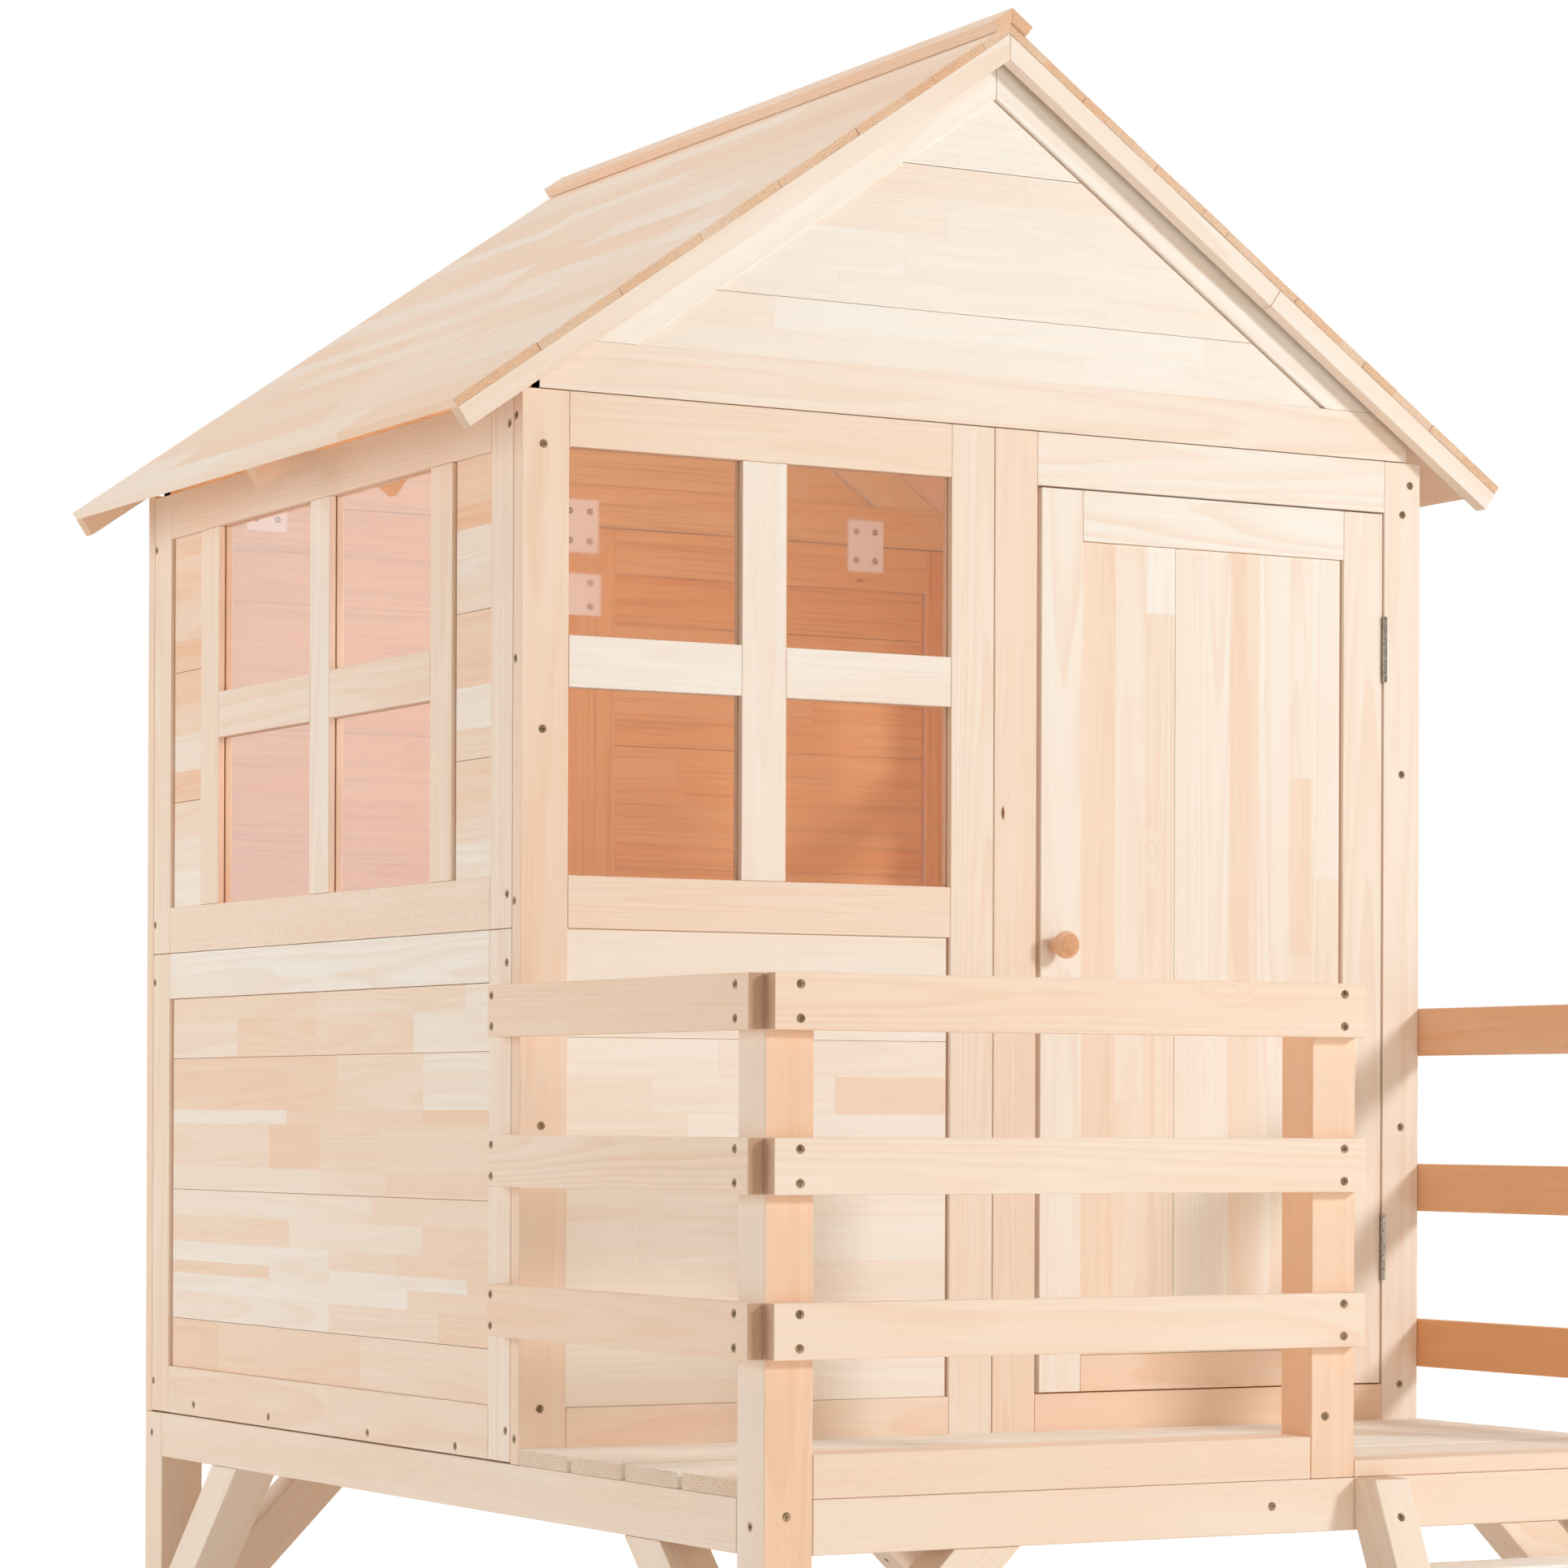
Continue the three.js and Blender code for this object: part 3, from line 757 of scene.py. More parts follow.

        # Painted shade: faces that look into the house are tinted darker and warmer, with darker
        # streaks.
        within = sheet.vector("DOT_PRODUCT", given["Normal"], given["Inward"], out="Value")
        lines = sheet.span(self.texture(260.0, 2.6, 4.0, 0.6), 0.34, 0.52, (0.84, 1.0))
        inner = sheet.tint(sheet.tint(colour, self.INDOORS), sheet.grey(lines))
        colour = sheet.mix(sheet.span(within, 0.6, 0.9), colour, inner)
        rough = sheet.math("MULTIPLY_ADD", fibre, 0.16, 0.50)
        height = sheet.math("MULTIPLY_ADD", fibre, 0.5, sheet.times(late, 0.8))
        results = {
            "Color": sheet.mix(knots, colour, self.KNOT),
            "Roughness": sheet.math("MULTIPLY_ADD", end, 0.15, rough),
            "Height": sheet.math("MULTIPLY_ADD", knots, -0.6, height),
        }
        sheet.fill(self.tree.nodes.new("NodeGroupOutput"), results)
        return self.tree


def start_material(name: str) -> tuple[bpy.types.Material, Sheet, bpy.types.Node]:
    """Starts a material.

    Args:
        name: Its name.

    Returns:
        The material, its sheet and its shader.
    """
    material = bpy.data.materials.new(name)
    material.use_nodes = True
    return material, Sheet(material.node_tree), material.node_tree.nodes["Principled BSDF"]


@dataclass(frozen=True)
class PineFinish:
    """Bare planed pine.

    Attributes:
        slot: The slot that it dresses.
        ring_width: Distance between rings.
        contrast: How dark the rings' late wood is.
        knots: Share of places that hold a knot.
        bump: Height of the grain.
    """

    slot: Slot
    ring_width: float
    contrast: float
    knots: float
    bump: float = 0.00025

    def build(self, group: bpy.types.NodeTree) -> bpy.types.Material:
        """Builds the material.

        Args:
            group: The shared grain group.

        Returns:
            The material.
        """
        material, sheet, shader = start_material(self.slot.value + "_finish")
        grain = sheet.node("Group", node_tree=group)
        place = sheet.node("TexCoord").outputs
        values = {"Point": place["Object"], "Normal": place["Normal"]}
        for name in ("Pith", "Grain", "Board", "Ends", "Inward"):
            stored = sheet.node("Attribute", attribute_name=name.lower())
            values[name] = stored.outputs["Vector"]
        values |= {"Ring Width": self.ring_width, "Contrast": self.contrast, "Knots": self.knots}
        sheet.fill(grain, values)
        relief = {"Distance": self.bump, "Strength": 0.6, "Height": grain.outputs["Height"]}
        sheet.fill(shader, {
            "Base Color": grain.outputs["Color"],
            "Roughness": grain.outputs["Roughness"],
            "Normal": sheet.result("Bump", relief),
            "Specular IOR Level": 0.35,
        })
        return material


@dataclass(frozen=True)
class PaneFinish:
    """Clear acrylic sheet with faint wipe marks."""

    tint: Colour = linear(250, 244, 240)

    def build(self) -> bpy.types.Material:
        """Builds the material, which lets light and shadow through.

        Returns:
            The material.
        """
        material, sheet, shader = start_material(Slot.PANE.value + "_finish")
        smear = sheet.noise(sheet.node("TexCoord").outputs["Object"], 7.0, 3.0)
        sheet.fill(shader, {
            "Roughness": sheet.span(smear, 0.3, 0.8, (0.015, 0.05)),
            "Base Color": self.tint,
            "Transmission Weight": 1.0,
            "IOR": 1.49,
            "Coat Weight": 1.0,
            "Coat IOR": 1.6,
        })
        clear = sheet.result("BsdfTransparent", {0: self.tint})
        rays = sheet.node("LightPath").outputs
        share = sheet.any_of(rays["Is Shadow Ray"], rays["Is Diffuse Ray"])
        blend = sheet.result("MixShader", {0: share, 1: shader.outputs[0], 2: clear})
        sheet.fill(material.node_tree.nodes["Material Output"], {"Surface": blend})
        return material


@dataclass(frozen=True)
class MetalFinish:
    """Plated steel with faint scratches and stains."""

    name: str = Slot.METAL.value + "_finish"
    light: Colour = linear(206, 200, 190)
    dark: Colour = linear(150, 142, 130)
    metallic: float = 0.9

    def build(self) -> bpy.types.Material:
        """Builds the material.

        Returns:
            The material.
        """
        material, sheet, shader = start_material(self.name)
        stain = sheet.noise(sheet.node("TexCoord").outputs["Object"], 260.0, 4.0, 0.6)
        sheet.fill(shader, {
            "Base Color": sheet.mix(sheet.span(stain, 0.35, 0.7), self.light, self.dark),
            "Roughness": sheet.span(stain, 0.3, 0.7, (0.28, 0.5)),
            "Metallic": self.metallic,
        })
        return material


@dataclass(frozen=True)
class PaintedPlateFinish:
    """White powder coat with a fine orange peel."""

    light: Colour = linear(246, 243, 240)
    dark: Colour = linear(236, 232, 228)

    def build(self) -> bpy.types.Material:
        """Builds the material.

        Returns:
            The material.
        """
        material, sheet, shader = start_material(PLATE_FINISH)
        peel = sheet.noise(sheet.node("TexCoord").outputs["Object"], 900.0, 2.0)
        sheet.fill(shader, {
            "Normal": sheet.result("Bump", {"Distance": 0.00005, "Height": peel}),
            "Base Color": sheet.mix(sheet.span(peel, 0.3, 0.8), self.light, self.dark),
            "Roughness": sheet.span(peel, 0.3, 0.8, (0.32, 0.45)),
        })
        return material


# Platform, rails and ladder


@dataclass
class Platform:
    """The legs, beams, braces, terrace and floor."""

    shop: Workshop
    brace_reach: float = 245.0
    brace_screw: float = 20.0
    post_top: float = 505.0
    toe_rail_top: float = 27.0
    board_gap: float = 9.0
    beam: Span = (-74.0, -18.0)
    board_tones: tuple[float, ...] = (0.02, 0.08, 0.0, 0.08)
    floor_boards: int = 10
    floor_gap: float = 0.4
    floor_tones: Span = (0.3, 0.6)

    def build(self) -> None:
        """Builds every piece of the platform."""
        self.legs()
        self.beams()
        self.braces()
        self.terrace()
        self.floor()

    def timber(
        self, node: str, x: Span, y: Span, z: Span, grain: Grain, tone: float,
        screws: Sequence[Screw] = (), side_shift: float = 0.0,
    ) -> None:
        """Builds a piece that is one square timber.

        Args:
            node: The node that it replaces.
            x: Left and right ends.
            y: Front and back ends.
            z: Lower and upper ends.
            grain: The direction of its length.
            tone: Its wood colour.
            screws: The screws in it.
            side_shift: How much darker its side faces are painted, as painted shade; below zero,
                lighter.
        """
        made = Timber.between(x, y, z, grain, tone=tone, edge=1.8, side_shift=side_shift)
        self.shop.build(node, [made], Slot.TIMBER, screws)

    def legs(self) -> None:
        """Builds the four legs, two of which go on as terrace posts, and the middle post."""
        left, right = (0, S.post), (S.width - S.post, S.width)
        front, back = (-S.terrace, S.post_back), (S.depth - S.post, S.depth)
        tall, short = (-S.deck, self.post_top), (-S.deck, self.beam[1])
        near = screws_at([(26, -S.terrace, -34)], FRONT) + screws_at([(0, -522, -45)], LEFT)
        far = screws_at([(S.width - 26, -S.terrace, -34)], FRONT)
        far += screws_at([(S.width, -522, -45)], RIGHT)
        rear_left = screws_at([(0, S.depth - 22, -45)], LEFT)
        rear_right = screws_at([(S.width, S.depth - 22, -45)], RIGHT)
        entry = screws_at([(680, -S.terrace, 48)], FRONT)
        # The left post's side faces are painted lighter: painted light, and partly paler sapwood.
        self.timber("front_left_leg_and_post", left, front, tall, Grain.Z, 0.58, near, -0.36)
        self.timber("front_right_leg_and_post", right, front, tall, Grain.Z, 0.4, far)
        self.timber("rear_left_leg", left, back, short, Grain.Z, 0.3, rear_left)
        self.timber("rear_right_leg", right, back, short, Grain.Z, 0.35, rear_right)
        height = (S.foot, self.post_top)
        # The middle post's side faces are painted darker, as painted shade.
        self.timber(
            "middle_terrace_post", S.middle_post, front, height, Grain.Z, 0.5, entry, 0.26
        )

    def beams(self) -> None:
        """Builds the four beams and the joist below the floor's middle."""
        sides = (S.post_back + S.gap, S.depth - S.post - S.gap)
        cross = (S.post + S.gap, S.width - S.post - S.gap)
        front, back = (-S.terrace, S.post_back), (S.depth - S.post, S.depth)
        joist_screw = screws_at([(612, -S.terrace, -45)], FRONT)
        self.timber("left_beam", (0, S.post), sides, self.beam, Grain.Y, 0.25)
        self.timber("right_beam", (S.width - S.post, S.width), sides, self.beam, Grain.Y, 0.4)
        self.timber("front_beam", cross, front, self.beam, Grain.X, 0.28, joist_screw)
        rear = Timber.between(cross, back, self.beam, Grain.X, tone=0.35, edge=1.8)
        across = (S.middle - S.post / 2, S.middle + S.post / 2)
        run = (S.post_back + S.gap, S.depth - S.post)
        joist = Timber.between(across, run, self.beam, Grain.Y, tone=0.4, edge=1.8)
        self.shop.build("rear_beam_with_middle_joist", [rear, joist], Slot.TIMBER)

    def brace(self, node: str, corner: Vector, away: Vector, tone: float) -> None:
        """Builds one brace between a leg and a beam.

        Args:
            node: The node that it replaces.
            corner: Where the leg's inner face meets the beam's underside.
            away: The level direction from the leg.
            tone: Its wood colour.
        """
        near = self.brace_reach - S.post * math.sqrt(2)
        middle = (self.brace_reach + near) / 2
        centre = corner + (away + DOWN) * (middle / 2)
        along, across = (away + UP).normalized(), (away + DOWN).normalized()
        cuts = [Cut(corner + away * S.gap, -away), Cut(corner + DOWN * S.gap, UP)]
        timber = Timber(centre, (middle * 2, S.post, S.post), along, across, tone, 1.6, cuts)
        face = centre - along * (middle / 2 - self.brace_screw)
        screws = [Screw(face + across * (S.post / 2), across)]
        self.shop.build(node, [timber], Slot.TIMBER, screws)

    def braces(self) -> None:
        """Builds the eight braces."""
        half, level = S.post / 2, self.beam[0]
        ends = (
            ("front", S.post_back, -S.terrace + half, BACK),
            ("rear", S.depth - S.post, S.depth - half, FRONT),
        )
        sides = (
            ("left", S.post, half, RIGHT),
            ("right", S.width - S.post, S.width - half, LEFT),
        )
        for end, inner_y, middle_y, from_end in ends:
            for side, inner_x, middle_x, from_side in sides:
                name = f"{end}_{side}"
                low = Vector((middle_x, inner_y, level))
                self.brace(name + "_side_brace", low, from_end, 0.22)
                low = Vector((inner_x, middle_y, level))
                self.brace(name + "_cross_brace", low, from_side, 0.3)

    def terrace(self) -> None:
        """Builds the terrace's boards, toe rail and threshold."""
        usable = -S.post_back - 2 * S.gap
        count = len(self.board_tones)
        width = (usable - (count - 1) * self.board_gap) / count
        level = (S.foot, 0)
        for index, tone in enumerate(self.board_tones):
            back = -S.gap - index * (width + self.board_gap)
            run = (back - width, back)
            board = Timber.between((0, S.width), run, level, Grain.X, tone=tone, edge=1.5)
            self.shop.build(f"terrace_board_{index + 1}", [board], Slot.DECK)
        front = (-S.terrace, S.post_back)
        toe = (S.post + S.gap, S.middle_post[0] - S.gap)
        self.timber("terrace_toe_rail", toe, front, (S.foot, self.toe_rail_top), Grain.X, 0.35)
        entry = (S.middle_post[1] + S.gap, S.width - S.post - S.gap)
        board = Timber.between(entry, front, level, Grain.X, tone=0.35, edge=1.5)
        self.shop.build("entry_threshold_board", [board], Slot.DECK)

    def floor(self) -> None:
        """Builds the boards of the floor inside the house."""
        inner = S.wall + S.gap
        width = (S.width - 2 * inner) / self.floor_boards
        run, level = (inner, S.depth - inner), (S.foot, 0)
        rng = random.Random(5)
        boards = []
        for index in range(self.floor_boards):
            left = inner + index * width
            span = (left + self.floor_gap, left + width - self.floor_gap)
            tone = rng.uniform(*self.floor_tones)
            boards.append(Timber.between(span, run, level, Grain.Y, tone=tone))
        self.shop.build("house_floor", boards, Slot.DECK)


@dataclass
class TerraceRails:
    """The three rails on each side of the terrace."""

    shop: Workshop
    height: float = 57.0
    thickness: float = 19.0
    wall_overlap: float = 42.0
    screw_reach: float = 17.0
    side_screws: Span = (-522.0, 32.0)
    front_screws: Span = (29.5, 690.0)
    left_heights: tuple[float, ...] = (122.0, 285.5, 449.0)
    right_heights: tuple[float, ...] = (63.0, 251.5, 440.0)
    left_tones: tuple[float, ...] = (0.4, 0.3, 0.4)
    front_tones: tuple[float, ...] = (0.32, 0.28, 0.36)
    # The right rails' dark amber tones paint the shade that falls on their inner faces.
    right_tones: tuple[float, ...] = (1.02, 0.88, 0.8)

    def rail(
        self, node: str, x: Span, y: Span, low: float, facing: Vector, tone: float, weathered: float
    ) -> None:
        """Builds one rail with two screws at each end, one above the other.

        Args:
            node: The node that it replaces.
            x: Left and right ends.
            y: Front and back ends.
            low: Its lower edge.
            facing: The direction that its outer face looks to.
            tone: Its wood colour.
            weathered: How much darker its sawn ends are painted, as painted shade.
        """
        grain = Grain.X if facing is FRONT else Grain.Y
        board = Timber.between(
            x, y, (low, low + self.height), grain, tone=tone, weathered=weathered
        )
        if facing is FRONT:
            spots = [(place, y[0]) for place in self.front_screws]
        else:
            spots = [(x[0] if facing is LEFT else x[1], place) for place in self.side_screws]
        middle = low + self.height / 2
        heights = (middle - self.screw_reach, middle + self.screw_reach)
        screws = screws_at([(*spot, height) for spot in spots for height in heights], facing)
        self.shop.build(node, [board], Slot.TIMBER, screws)

    def build(self) -> None:
        """Builds the nine rails."""
        run = (-S.terrace, self.wall_overlap)
        left = (-S.gap - self.thickness, -S.gap)
        face = -S.terrace - S.gap - self.thickness
        front = (face, face + self.thickness)
        right = (S.width + S.gap, S.width + S.gap + self.thickness)
        across = (0, S.middle_post[1])
        # The last number of each call is how much painted shade darkens that rail's sawn ends.
        for index, name in enumerate(("lower", "middle", "upper")):
            low, tone = self.left_heights[index], self.left_tones[index]
            self.rail(f"left_{name}_rail", left, run, low, LEFT, tone, 0.95)
            tone = self.front_tones[index]
            self.rail(f"front_{name}_rail", across, front, low, FRONT, tone, 0.5)
            low, tone = self.right_heights[index], self.right_tones[index]
            self.rail(f"right_{name}_rail", right, run, low, RIGHT, tone, 0.0)


@dataclass
class Ladder:
    """The leaning ladder with its level steps."""

    shop: Workshop
    lean: float = math.radians(23.5)
    width: float = 44.0
    depth: float = 52.0
    top: float = -18.0
    top_depth: float = 37.0
    spare: float = 120.0
    screw_height: float = -57.0
    step_drop: float = 111.0
    step_depth: float = 80.0
    step_thickness: float = 21.0
    steps: int = 3

    def front(self, height: float) -> float:
        """Gives where a stringer's front face is at a height."""
        return -S.terrace - self.top_depth - (self.top - height) * math.tan(self.lean)

    def build(self) -> None:
        """Builds both stringers and the steps."""
        level = self.depth / math.cos(self.lean)
        opening = (S.middle_post[1], S.width - S.post)
        self.stringer("ladder_left_stringer", opening[0], level)
        self.stringer("ladder_right_stringer", opening[1] - self.width, level)
        rise = (S.deck - self.step_drop) / self.steps
        run = (opening[0] + self.width + S.gap, opening[1] - self.width - S.gap)
        for index in range(self.steps):
            top = -self.step_drop - rise * index
            middle = self.front(top - self.step_thickness / 2) + level / 2
            depth = (middle - self.step_depth / 2, middle + self.step_depth / 2)
            height = (top - self.step_thickness, top)
            step = Timber.between(run, depth, height, Grain.X, tone=0.02, edge=1.8)
            self.shop.build(f"ladder_step_{self.steps - index}", [step], Slot.TIMBER)

    def stringer(self, node: str, left: float, level: float) -> None:
        """Builds one leaning side board, cut off level at both ends and upright at the beam.

        Args:
            node: The node that it replaces.
            left: Its left face.
            level: Its depth, measured level.
        """
        down = Vector((0, -math.sin(self.lean), -math.cos(self.lean)))
        across = Vector((0, -math.cos(self.lean), math.sin(self.lean)))
        middle, x = -S.deck / 2, left + self.width / 2
        centre = Vector((x, self.front(middle) + level / 2, middle))
        cuts = [
            Cut(Vector((0, 0, self.top)), UP),
            Cut(Vector((0, 0, -S.deck)), DOWN),
            Cut(Vector((0, -S.terrace - S.gap, 0)), BACK),
        ]
        size = (S.deck / math.cos(self.lean) + self.spare, self.depth, self.width)
        timber = Timber(centre, size, down, across, 0.2, 1.8, cuts)
        spot = (x, self.front(self.screw_height), self.screw_height)
        self.shop.build(node, [timber], Slot.TIMBER, screws_at([spot], across))


# Walls

Row = tuple[float, float, Sequence[float], Sequence[float]]


@dataclass
class Panel:
    """Lays boards into an upright panel. Across and up are the panel's own directions."""

    plane: Plane
    depth: Span
    slot_widths: Span = (0.6, 2.6)
    strip_reach: Span = (0.5, 4.0)
    strip_half: float = 1.5
    groove_reach: float = 12.25
    groove_outer: float = 8.75
    stave_gap: float = 0.02

    def board(self, across: Span, up: Span, upright: bool, **more: object) -> Timber:
        """Gives a board that is as thick as the panel, or as given by a depth.

        Args:
            across: Its two sides.
            up: Its foot and its head.
            upright: Whether its grain stands on end.
            **more: Further fields of the timber.

        Returns:
            The board.
        """
        depth = more.pop("depth", self.depth)
        if self.plane is Plane.FRONT:
            return Timber.between(across, depth, up, Grain.Z if upright else Grain.X, **more)
        return Timber.between(depth, across, up, Grain.Z if upright else Grain.Y, **more)

    def stiles(self, outer: Span, inside: Span, up: Span, tones: Span) -> list[Timber]:
        """Gives the two outer boards of a frame.

        Args:
            outer: The frame's outer sides.
            inside: The sides of its opening.
            up: Their foot and head.
            tones: Their wood colours.

        Returns:
            The two boards.
        """
        left, right = (outer[0], inside[0] - S.joint), (inside[1] + S.joint, outer[1])
        return [self.board(span, up, True, tone=tone) for span, tone in zip((left, right), tones)]

    def muntins(self, across: Span, up: Span, tones: Sequence[float]) -> list[Timber]:
        """Gives the crossed bars of a window.

        Args:
            across: The window's sides.
            up: Its foot and head.
            tones: The wood colours of the upright bar and of the left and right level bars.

        Returns:
            The three bars.
        """
        middle, half = sum(across) / 2, S.muntin / 2
        height = sum(up) / 2
        post = (middle - half, middle + half)
        level = (height - half, height + half)
        opening = (up[0] + S.joint, up[1] - S.joint)
        spans = ((across[0] + S.joint, post[0] - S.joint), (post[1] + S.joint, across[1] - S.joint))
        bars = [self.board(post, opening, True, tone=tones[0])]
        return bars + [self.board(s, level, False, tone=t) for s, t in zip(spans, tones[1:])]

    def field(self, inside: Span) -> Span:
        """Gives the sides of the infill, which leaves a slot at each stile."""
        return (inside[0] + self.slot_widths[0], inside[1] - self.slot_widths[1])

    def pane_groove(self, boards: Iterable[Timber], across: Span, up: Span) -> None:
        """Gives the boards around a window the groove that its pane stands in.

        Args:
            boards: The boards, of which the groove meets some.
            across: The sides of the opening.
            up: The foot and the head of the opening.
        """
        near, far = (8.5 if self.plane is Plane.FRONT else 8.0), self.groove_outer
        if self.depth[0] > S.depth / 2 and self.plane is Plane.SIDE:
            near, far = far, near
        depth = (self.depth[0] + near, self.depth[1] - far)
        wide = (across[0] - self.groove_reach, across[1] + self.groove_reach)
        tall = (up[0] - self.groove_reach, up[1] + self.groove_reach)
        spans = (wide, depth, tall) if self.plane is Plane.FRONT else (depth, wide, tall)
        for board in boards:
            board.groove = tuple(Vector([span[end] for span in spans]) for end in range(2))

    def slot_strips(self, across: Span, up: Span) -> list[Timber]:
        """Gives the thin strips that close the slots beside the infill, in a darker tone that
        paints shade into the slots.

        Args:
            across: The sides of the opening.
            up: Its foot and head.

        Returns:
            The two strips.
        """
        middle, (out, into) = sum(self.depth) / 2, self.strip_reach
        depth = (middle - self.strip_half, middle + self.strip_half)
        sides = ((across[0] - out, across[0] + into), (across[1] - into, across[1] + out))
        # Painted shade: the strips' darker tone darkens the slots.
        return [self.board(side, up, True, depth=depth, tone=0.8, edge=0.2) for side in sides]

    def staves(
        self, rows: Sequence[Row], across: Span, upright: bool = False, calm: float = 0.0
    ) -> list[Timber]:
        """Turns rows of glued staves into boards.

        Args:
            rows: For each row its two edges, its stave ends and its tones.
            across: The row's ends.
            upright: Whether the rows stand on end.
            calm: How faint the grain is.

        Returns:
            The staves.
        """
        depth = (self.depth[0] + S.recess, self.depth[1] - S.recess)
        boards = []
        for low, high, ends, tones in rows:
            stops = [across[0], *ends, across[1]]
            for start, stop, tone in zip(stops, stops[1:], tones):
                pair = ((start + self.stave_gap, stop - self.stave_gap), (low, high))
                sides, heights = reversed(pair) if upright else pair
                boards.append(self.board(
                    sides, heights, upright, depth=depth, tone=tone, edge=0.12, calm=calm
                ))
        return boards


@dataclass(frozen=True)
class RowMaker:
    """Makes rows of staves for boards that are glued from strips."""

    spread: Span = (0.05, 0.6)
    board: float = 165.0
    strip: float = 45.0
    jitter: float = 0.18
    margin: float = 8.0
    seam_gap: float = 0.35
    first: Span = (60.0, 400.0)
    stave: Span = (160.0, 480.0)
    seams: int = 8

    def rows(self, rng: random.Random, across: Span, up: Span, seam: float) -> list[Row]:
        """Makes the rows of one field.

        Args:
            rng: Where the chances come from.
            across: The ends of the rows.
            up: The edges of the field.
            seam: The height of one seam between two boards.

        Returns:
            The rows, from low to high.
        """
        inner = (up[0] + self.margin, up[1] - self.margin)
        seams = [seam + self.board * step for step in range(-self.seams, self.seams + 1)]
        edges = [up[0], *[height for height in seams if inner[0] < height < inner[1]], up[1]]
        rows = []
        for low, high in zip(edges, edges[1:]):
            parts = max(1, round((high - low) / self.strip))
            shares = [k + rng.uniform(-self.jitter, self.jitter) for k in range(1, parts)]
            cuts = sorted(low + (high - low) * share / parts for share in shares)
            lines = [low + self.seam_gap, *cuts, high - self.seam_gap]
            for line_low, line_high in zip(lines, lines[1:]):
                ends, place = [], across[0] + rng.uniform(*self.first)
                while place < across[1] - self.first[0]:
                    ends.append(place)
                    place += rng.uniform(*self.stave)
                tones = [rng.uniform(*self.spread) for _ in range(len(ends) + 1)]
                rows.append((line_low, line_high, ends, tones))
        return rows


@dataclass
class FrontWall:
    """The window panel and the panel around the doorway."""

    shop: Workshop
    stile: float = 53.0
    doorway_head: float = 1096.0
    half_gap: float = 0.5

    def build(self) -> None:
        """Builds both panels."""
        self.panel = Panel(Plane.FRONT, (0, S.wall))
        self.window_panel()
        self.door_surround()

    def finish(
        self, node: str, boards: list[Timber], spots: Iterable[Span], edge: float, facing: Vector
    ) -> None:
        """Builds a panel with the screws in its front and in its outer edge.

        Args:
            node: The node that it replaces.
            boards: Its boards.
            spots: Where screws sit on the front face, across and up.
            edge: The place of its outer edge.
            facing: The direction that this edge faces.
        """
        screws = screws_at([(x, 0, z) for x, z in spots], FRONT)
        edge_spots = ((15, 1129), (15, 863), (16, 598), (11, 10))
        screws += screws_at([(edge, y, z) for y, z in edge_spots], facing)
        self.shop.build(node, boards, Slot.PANEL, screws, inward=BACK)

    def window_panel(self) -> None:
        """Builds the panel that holds the front window."""
        panel, window = self.panel, (S.sill, S.head)
        inside = (S.member, S.middle - S.gap - S.member)
        outer = (0, S.middle - S.gap - self.half_gap)
        boards = panel.stiles(outer, inside, (S.foot, S.wall_top), (0.38, 0.2))
        boards += [
            panel.board(inside, (S.head, S.wall_top), False, tone=0.3),
            panel.board(inside, (S.sill - S.member, S.sill), False, tone=0.28),
            *panel.muntins(inside, window, (0.1, 0.04, 0.06)),
            panel.board(inside, (S.foot, S.foot_rail_top), False, tone=0.3),
        ]
        panel.pane_groove(boards, inside, window)
        rows = [
            (449.8, 489, (300,), (0.1, 0.04)),
            (489, 528, (180, 420), (0.08, 0.14, 0.06)),
            (528, 568.6, (), (0.08,)),
            (408, 449.2, (250,), (0.04, 0.1)),
            (366, 408, (165, 400), (0.14, 0.08, 0.34)),
            (326, 366, (210,), (0.12, 0.02)),
            (285, 326, (380,), (0.08, 0.04)),
            (244, 284.4, (180, 440), (0.08, 0.04, 0.03)),
            (200, 244, (150, 425), (0.06, 0.02, 0.0)),
            (160, 200, (), (0.1,)),
            (119.9, 160, (300,), (0.02, 0.08)),
            (70, 119.3, (240,), (0.06, 0.02)),
            (43.4, 70, (396,), (0.1, 0.04)),
        ]
        boards += panel.staves(rows, panel.field(inside), calm=0.5)
        boards += panel.slot_strips(inside, (S.foot_rail_top, S.sill - S.member))
        spots = ((26, 1098), (26, 786), (26, 352), (26, 43))
        self.finish("front_window_panel", boards, spots, 0, LEFT)

    def door_surround(self) -> None:
        """Builds the frame around the doorway."""
        panel = self.panel
        outer = (S.middle + self.half_gap, S.width)
        inside = (S.middle + S.member, S.width - self.stile)
        boards = panel.stiles(outer, inside, (S.foot, S.wall_top), (0.3, 0.2))
        boards += [
            panel.board(inside, (self.doorway_head, S.wall_top), False, tone=0.1),
            panel.board(inside, (S.foot, S.foot_rail_top), False, tone=0.45),
        ]
        spots = ((1187, 1095), (1187, 780), (1187, 353), (1187, 42), (1198, 1131))
        self.finish("door_surround_panel", boards, spots, S.width, RIGHT)


